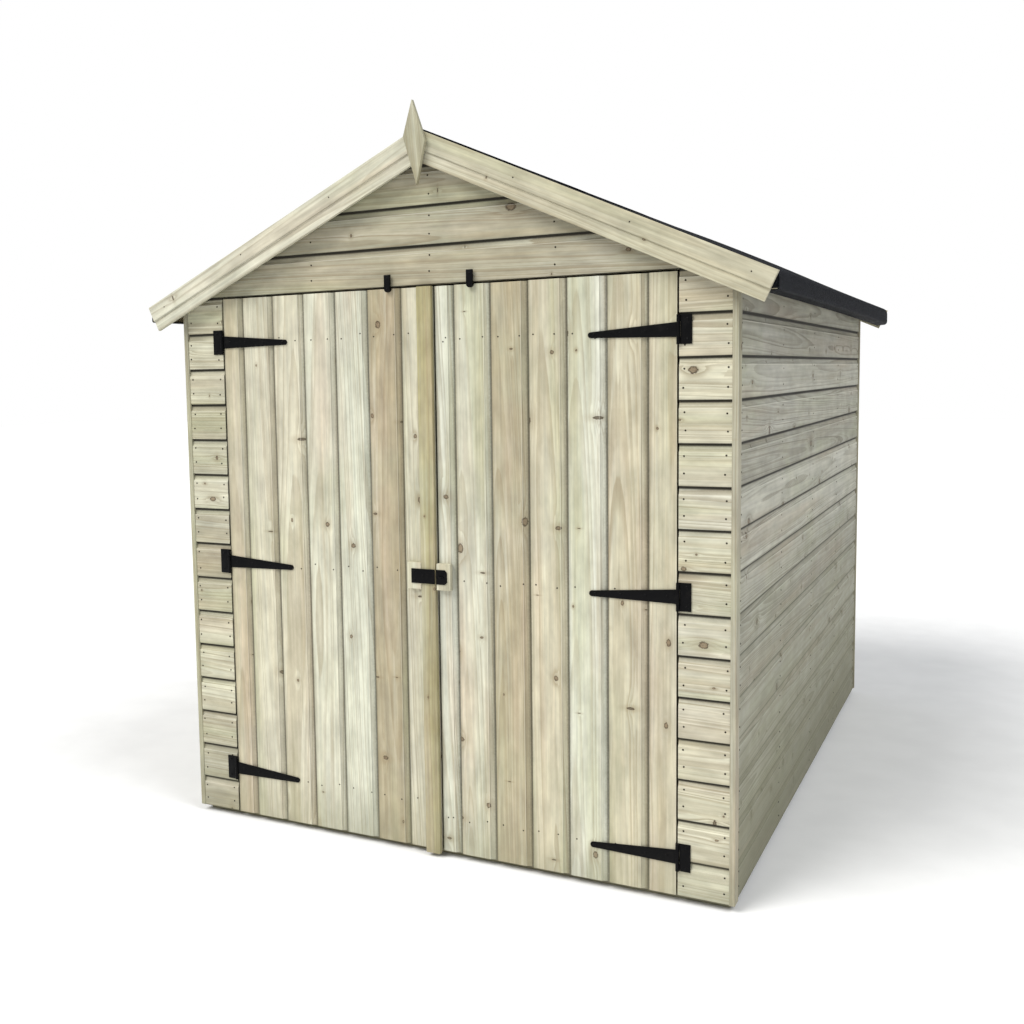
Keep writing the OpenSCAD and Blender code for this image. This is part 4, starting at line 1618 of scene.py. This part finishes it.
@dataclass
class Ironwork:
    """T hinges, latch and catches, with their screws."""

    rng: np.random.Generator
    iron: tuple[tuple[str, str], ...] = (
        ("left_hinge_plates", "shed"),
        ("right_hinge_plates", "shed"),
        ("left_hinge_straps", "left_leaf"),
        ("right_hinge_straps", "right_leaf"),
        ("left_catch", "left_leaf"),
        ("right_catch", "right_leaf"),
        ("latch_plate", "left_leaf"),
        ("latch_keeper", "right_leaf"),
    )

    def build(self) -> None:
        """Makes the eased ironwork and the screws that hold it."""
        for node, body in self.iron:
            EasedCopy(node, body, 0.0007).build(Finish.IRON, self.rng)
        for side, sign in (("left", 1.0), ("right", -1.0)):
            self.hinge_screws(side, sign)
        self.latch_screws()

    def hinge_screws(self, side: str, sign: float) -> None:
        """Two screws in each fixed plate, above each other, and four along each strap.

        Args:
            side: Which door.
            sign: Direction in which the straps reach from their pins.
        """
        plate_low, plate_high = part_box(f"{side}_hinge_plates")
        strap_low, strap_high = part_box(f"{side}_hinge_straps")
        levels = stick_lines(f"{side}_hinge_plates", 2)
        outer = plate_low.x if sign > 0 else plate_high.x
        knuckle = strap_low.x if sign > 0 else strap_high.x
        face = strap_high.y - 0.003
        offsets = np.array([-0.027, 0.027])
        heights = (levels[:, None] + offsets[None, :]).ravel()
        spots = grid_points(np.array([outer + sign * 0.012]), np.array([face]), heights)
        make_piece(f"{side}_plate_screws", heads(spots, FORWARD, 0.0042, 0.0012, 12), Finish.IRON, "shed")
        steps = np.array([0.035, 0.095, 0.165, 0.238])
        fall = -0.007 * steps / 0.242
        side_spots = np.stack(
            [
                np.tile(knuckle + sign * steps, len(levels)),
                np.full(len(levels) * len(steps), face),
                (levels[:, None] + fall[None, :]).ravel(),
            ],
            -1,
        )
        screws = heads(side_spots, FORWARD, 0.0040, 0.0012, 12)
        make_piece(f"{side}_strap_screws", screws, Finish.IRON, f"{side}_leaf")

    def latch_screws(self) -> None:
        """Two screws in each catch and three in each latch plate."""
        for side in ("left", "right"):
            low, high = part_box(f"{side}_catch")
            middle = (low.x + high.x) / 2
            heights = np.array([low.z + 0.009, high.z - 0.012])
            spots = grid_points(np.array([middle]), np.array([low.y]), heights)
            screws = heads(spots, FORWARD, 0.0038, 0.0012, 12)
            make_piece(f"{side}_catch_screws", screws, Finish.IRON, f"{side}_leaf")
        low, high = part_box("latch_plate")
        z = (low.z + high.z) / 2
        offsets = ((0.010, 0.013), (0.010, -0.013), (0.038, 0.0))
        spots = np.array([[low.x + x, low.y, z + rise] for x, rise in offsets])
        make_piece("latch_screws", heads(spots, FORWARD, 0.004, 0.0012, 12), Finish.IRON, "left_leaf")


# ---------------------------------------------------------------- stage, light and camera


@dataclass(frozen=True)
class Studio:
    """Pale floor, soft light and the camera."""

    ground: float = 30.0
    camera_at: tuple[float, float, float] = (1.5608, -4.3166, 1.4645)
    camera_turn: tuple[float, float, float] = (84.489, 1.218, 28.556)
    lens: float = 40.995
    shift: tuple[float, float] = (0.1172, -0.0215)
    ambient: float = 0.45

    def floor(self) -> None:
        """A wide pale floor under the shed, a little uneven to the eye."""
        material, g, shader = new_material("studio_floor")
        tone = g.remap(g.noise(object_place(g), 6.0, 3.0), 0.3, 0.7, 0.86, 0.89)
        g.feed(shader.inputs["Base Color"], g.combined("Color", tone, tone, tone))
        shader.inputs["Roughness"].default_value = 0.9
        r = self.ground
        mesh = bpy.data.meshes.new("studio_floor")
        mesh.from_pydata([(-r, -r, 0.0), (r, -r, 0.0), (r, r, 0.0), (-r, r, 0.0)], [], [(0, 1, 2, 3)])
        mesh.materials.append(material)
        floor = bpy.data.objects.new("studio_floor", mesh)
        bpy.context.scene.collection.objects.link(floor)

    def sun(self, name: str, towards: Direction, strength: float, spread: float, tint: Colour) -> None:
        """A soft sun.

        Args:
            name: Its name.
            towards: Direction from the shed to the sun.
            strength: Its strength in watts for each square metre.
            spread: Angle that it fills, in degrees.
            tint: Its colour.
        """
        light = bpy.data.lights.new(name, "SUN")
        light.energy, light.angle, light.color = strength, math.radians(spread), tint
        lamp = bpy.data.objects.new(name, light)
        lamp.location = towards
        lamp.rotation_euler = Vector(towards).to_track_quat("Z", "Y").to_euler()
        bpy.context.scene.collection.objects.link(lamp)

    def sky(self) -> bpy.types.World:
        """A white backdrop to the camera that lights the scene more gently than it shows."""
        world = bpy.data.worlds.new("soft_sky")
        world.use_nodes = True
        world.node_tree.nodes.clear()
        g = Graph(world.node_tree)
        lit = g.add("Background", {"Color": (0.96, 0.98, 1.0, 1.0), "Strength": self.ambient})
        seen = g.add("Background", {"Color": (1.0, 1.0, 1.0, 1.0), "Strength": 1.0})
        camera_ray = g.add("LightPath").outputs["Is Camera Ray"]
        pick = g.add("MixShader", {0: camera_ray, 1: lit.outputs[0], 2: seen.outputs[0]})
        g.tree.links.new(pick.outputs[0], g.add("OutputWorld").inputs[0])
        return world

    def build(self) -> None:
        """Makes the floor, the sky, the suns and the camera."""
        scene = bpy.context.scene
        self.floor()
        scene.world = self.sky()
        self.sun("key_sun", (-0.45, -0.65, 0.85), 2.7, 35.0, (1.0, 0.985, 0.955))
        self.sun("side_sun", (0.62, -0.12, 0.95), 1.15, 25.0, (0.97, 0.985, 1.0))
        camera = bpy.data.cameras.new("camera")
        camera.lens, camera.sensor_width = self.lens, 36.0
        camera.shift_x, camera.shift_y = self.shift
        camera.clip_start, camera.clip_end = 0.05, 200.0
        view = bpy.data.objects.new("camera", camera)
        view.location = self.camera_at
        view.rotation_euler = tuple(math.radians(a) for a in self.camera_turn)
        scene.collection.objects.link(view)
        scene.camera = view
        scene.view_settings.view_transform = "Standard"


FRAME: dict = {}


def main() -> None:
    """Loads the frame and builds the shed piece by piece."""
    logging.basicConfig(level=logging.INFO, format="%(name)s %(message)s")
    FRAME.update(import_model())
    Studio().build()
    roof = Roofline.read()
    Cladding(roof, np.random.default_rng(11)).build()
    DoorLeaf(
        "left",
        np.random.default_rng(23),
        (-0.661, -0.546, -0.431, -0.316, -0.201, -0.086),
        (0.25, 0.52, 0.5, 0.64, 0.74, 0.03, 0.55),
    ).build()
    DoorLeaf(
        "right",
        np.random.default_rng(37),
        (0.088, 0.203, 0.318, 0.433, 0.548, 0.663),
        (0.85, 0.66, 0.12, 0.4, 0.9, 0.35, 0.42),
    ).build()
    Bargework(roof, np.random.default_rng(41)).build()
    RoofCovering(roof, np.random.default_rng(53)).build()
    FloorBoards(np.random.default_rng(67)).build()
    Joinery(np.random.default_rng(71)).build()
    Ironwork(np.random.default_rng(83)).build()


if __name__ == "__main__":
    main()
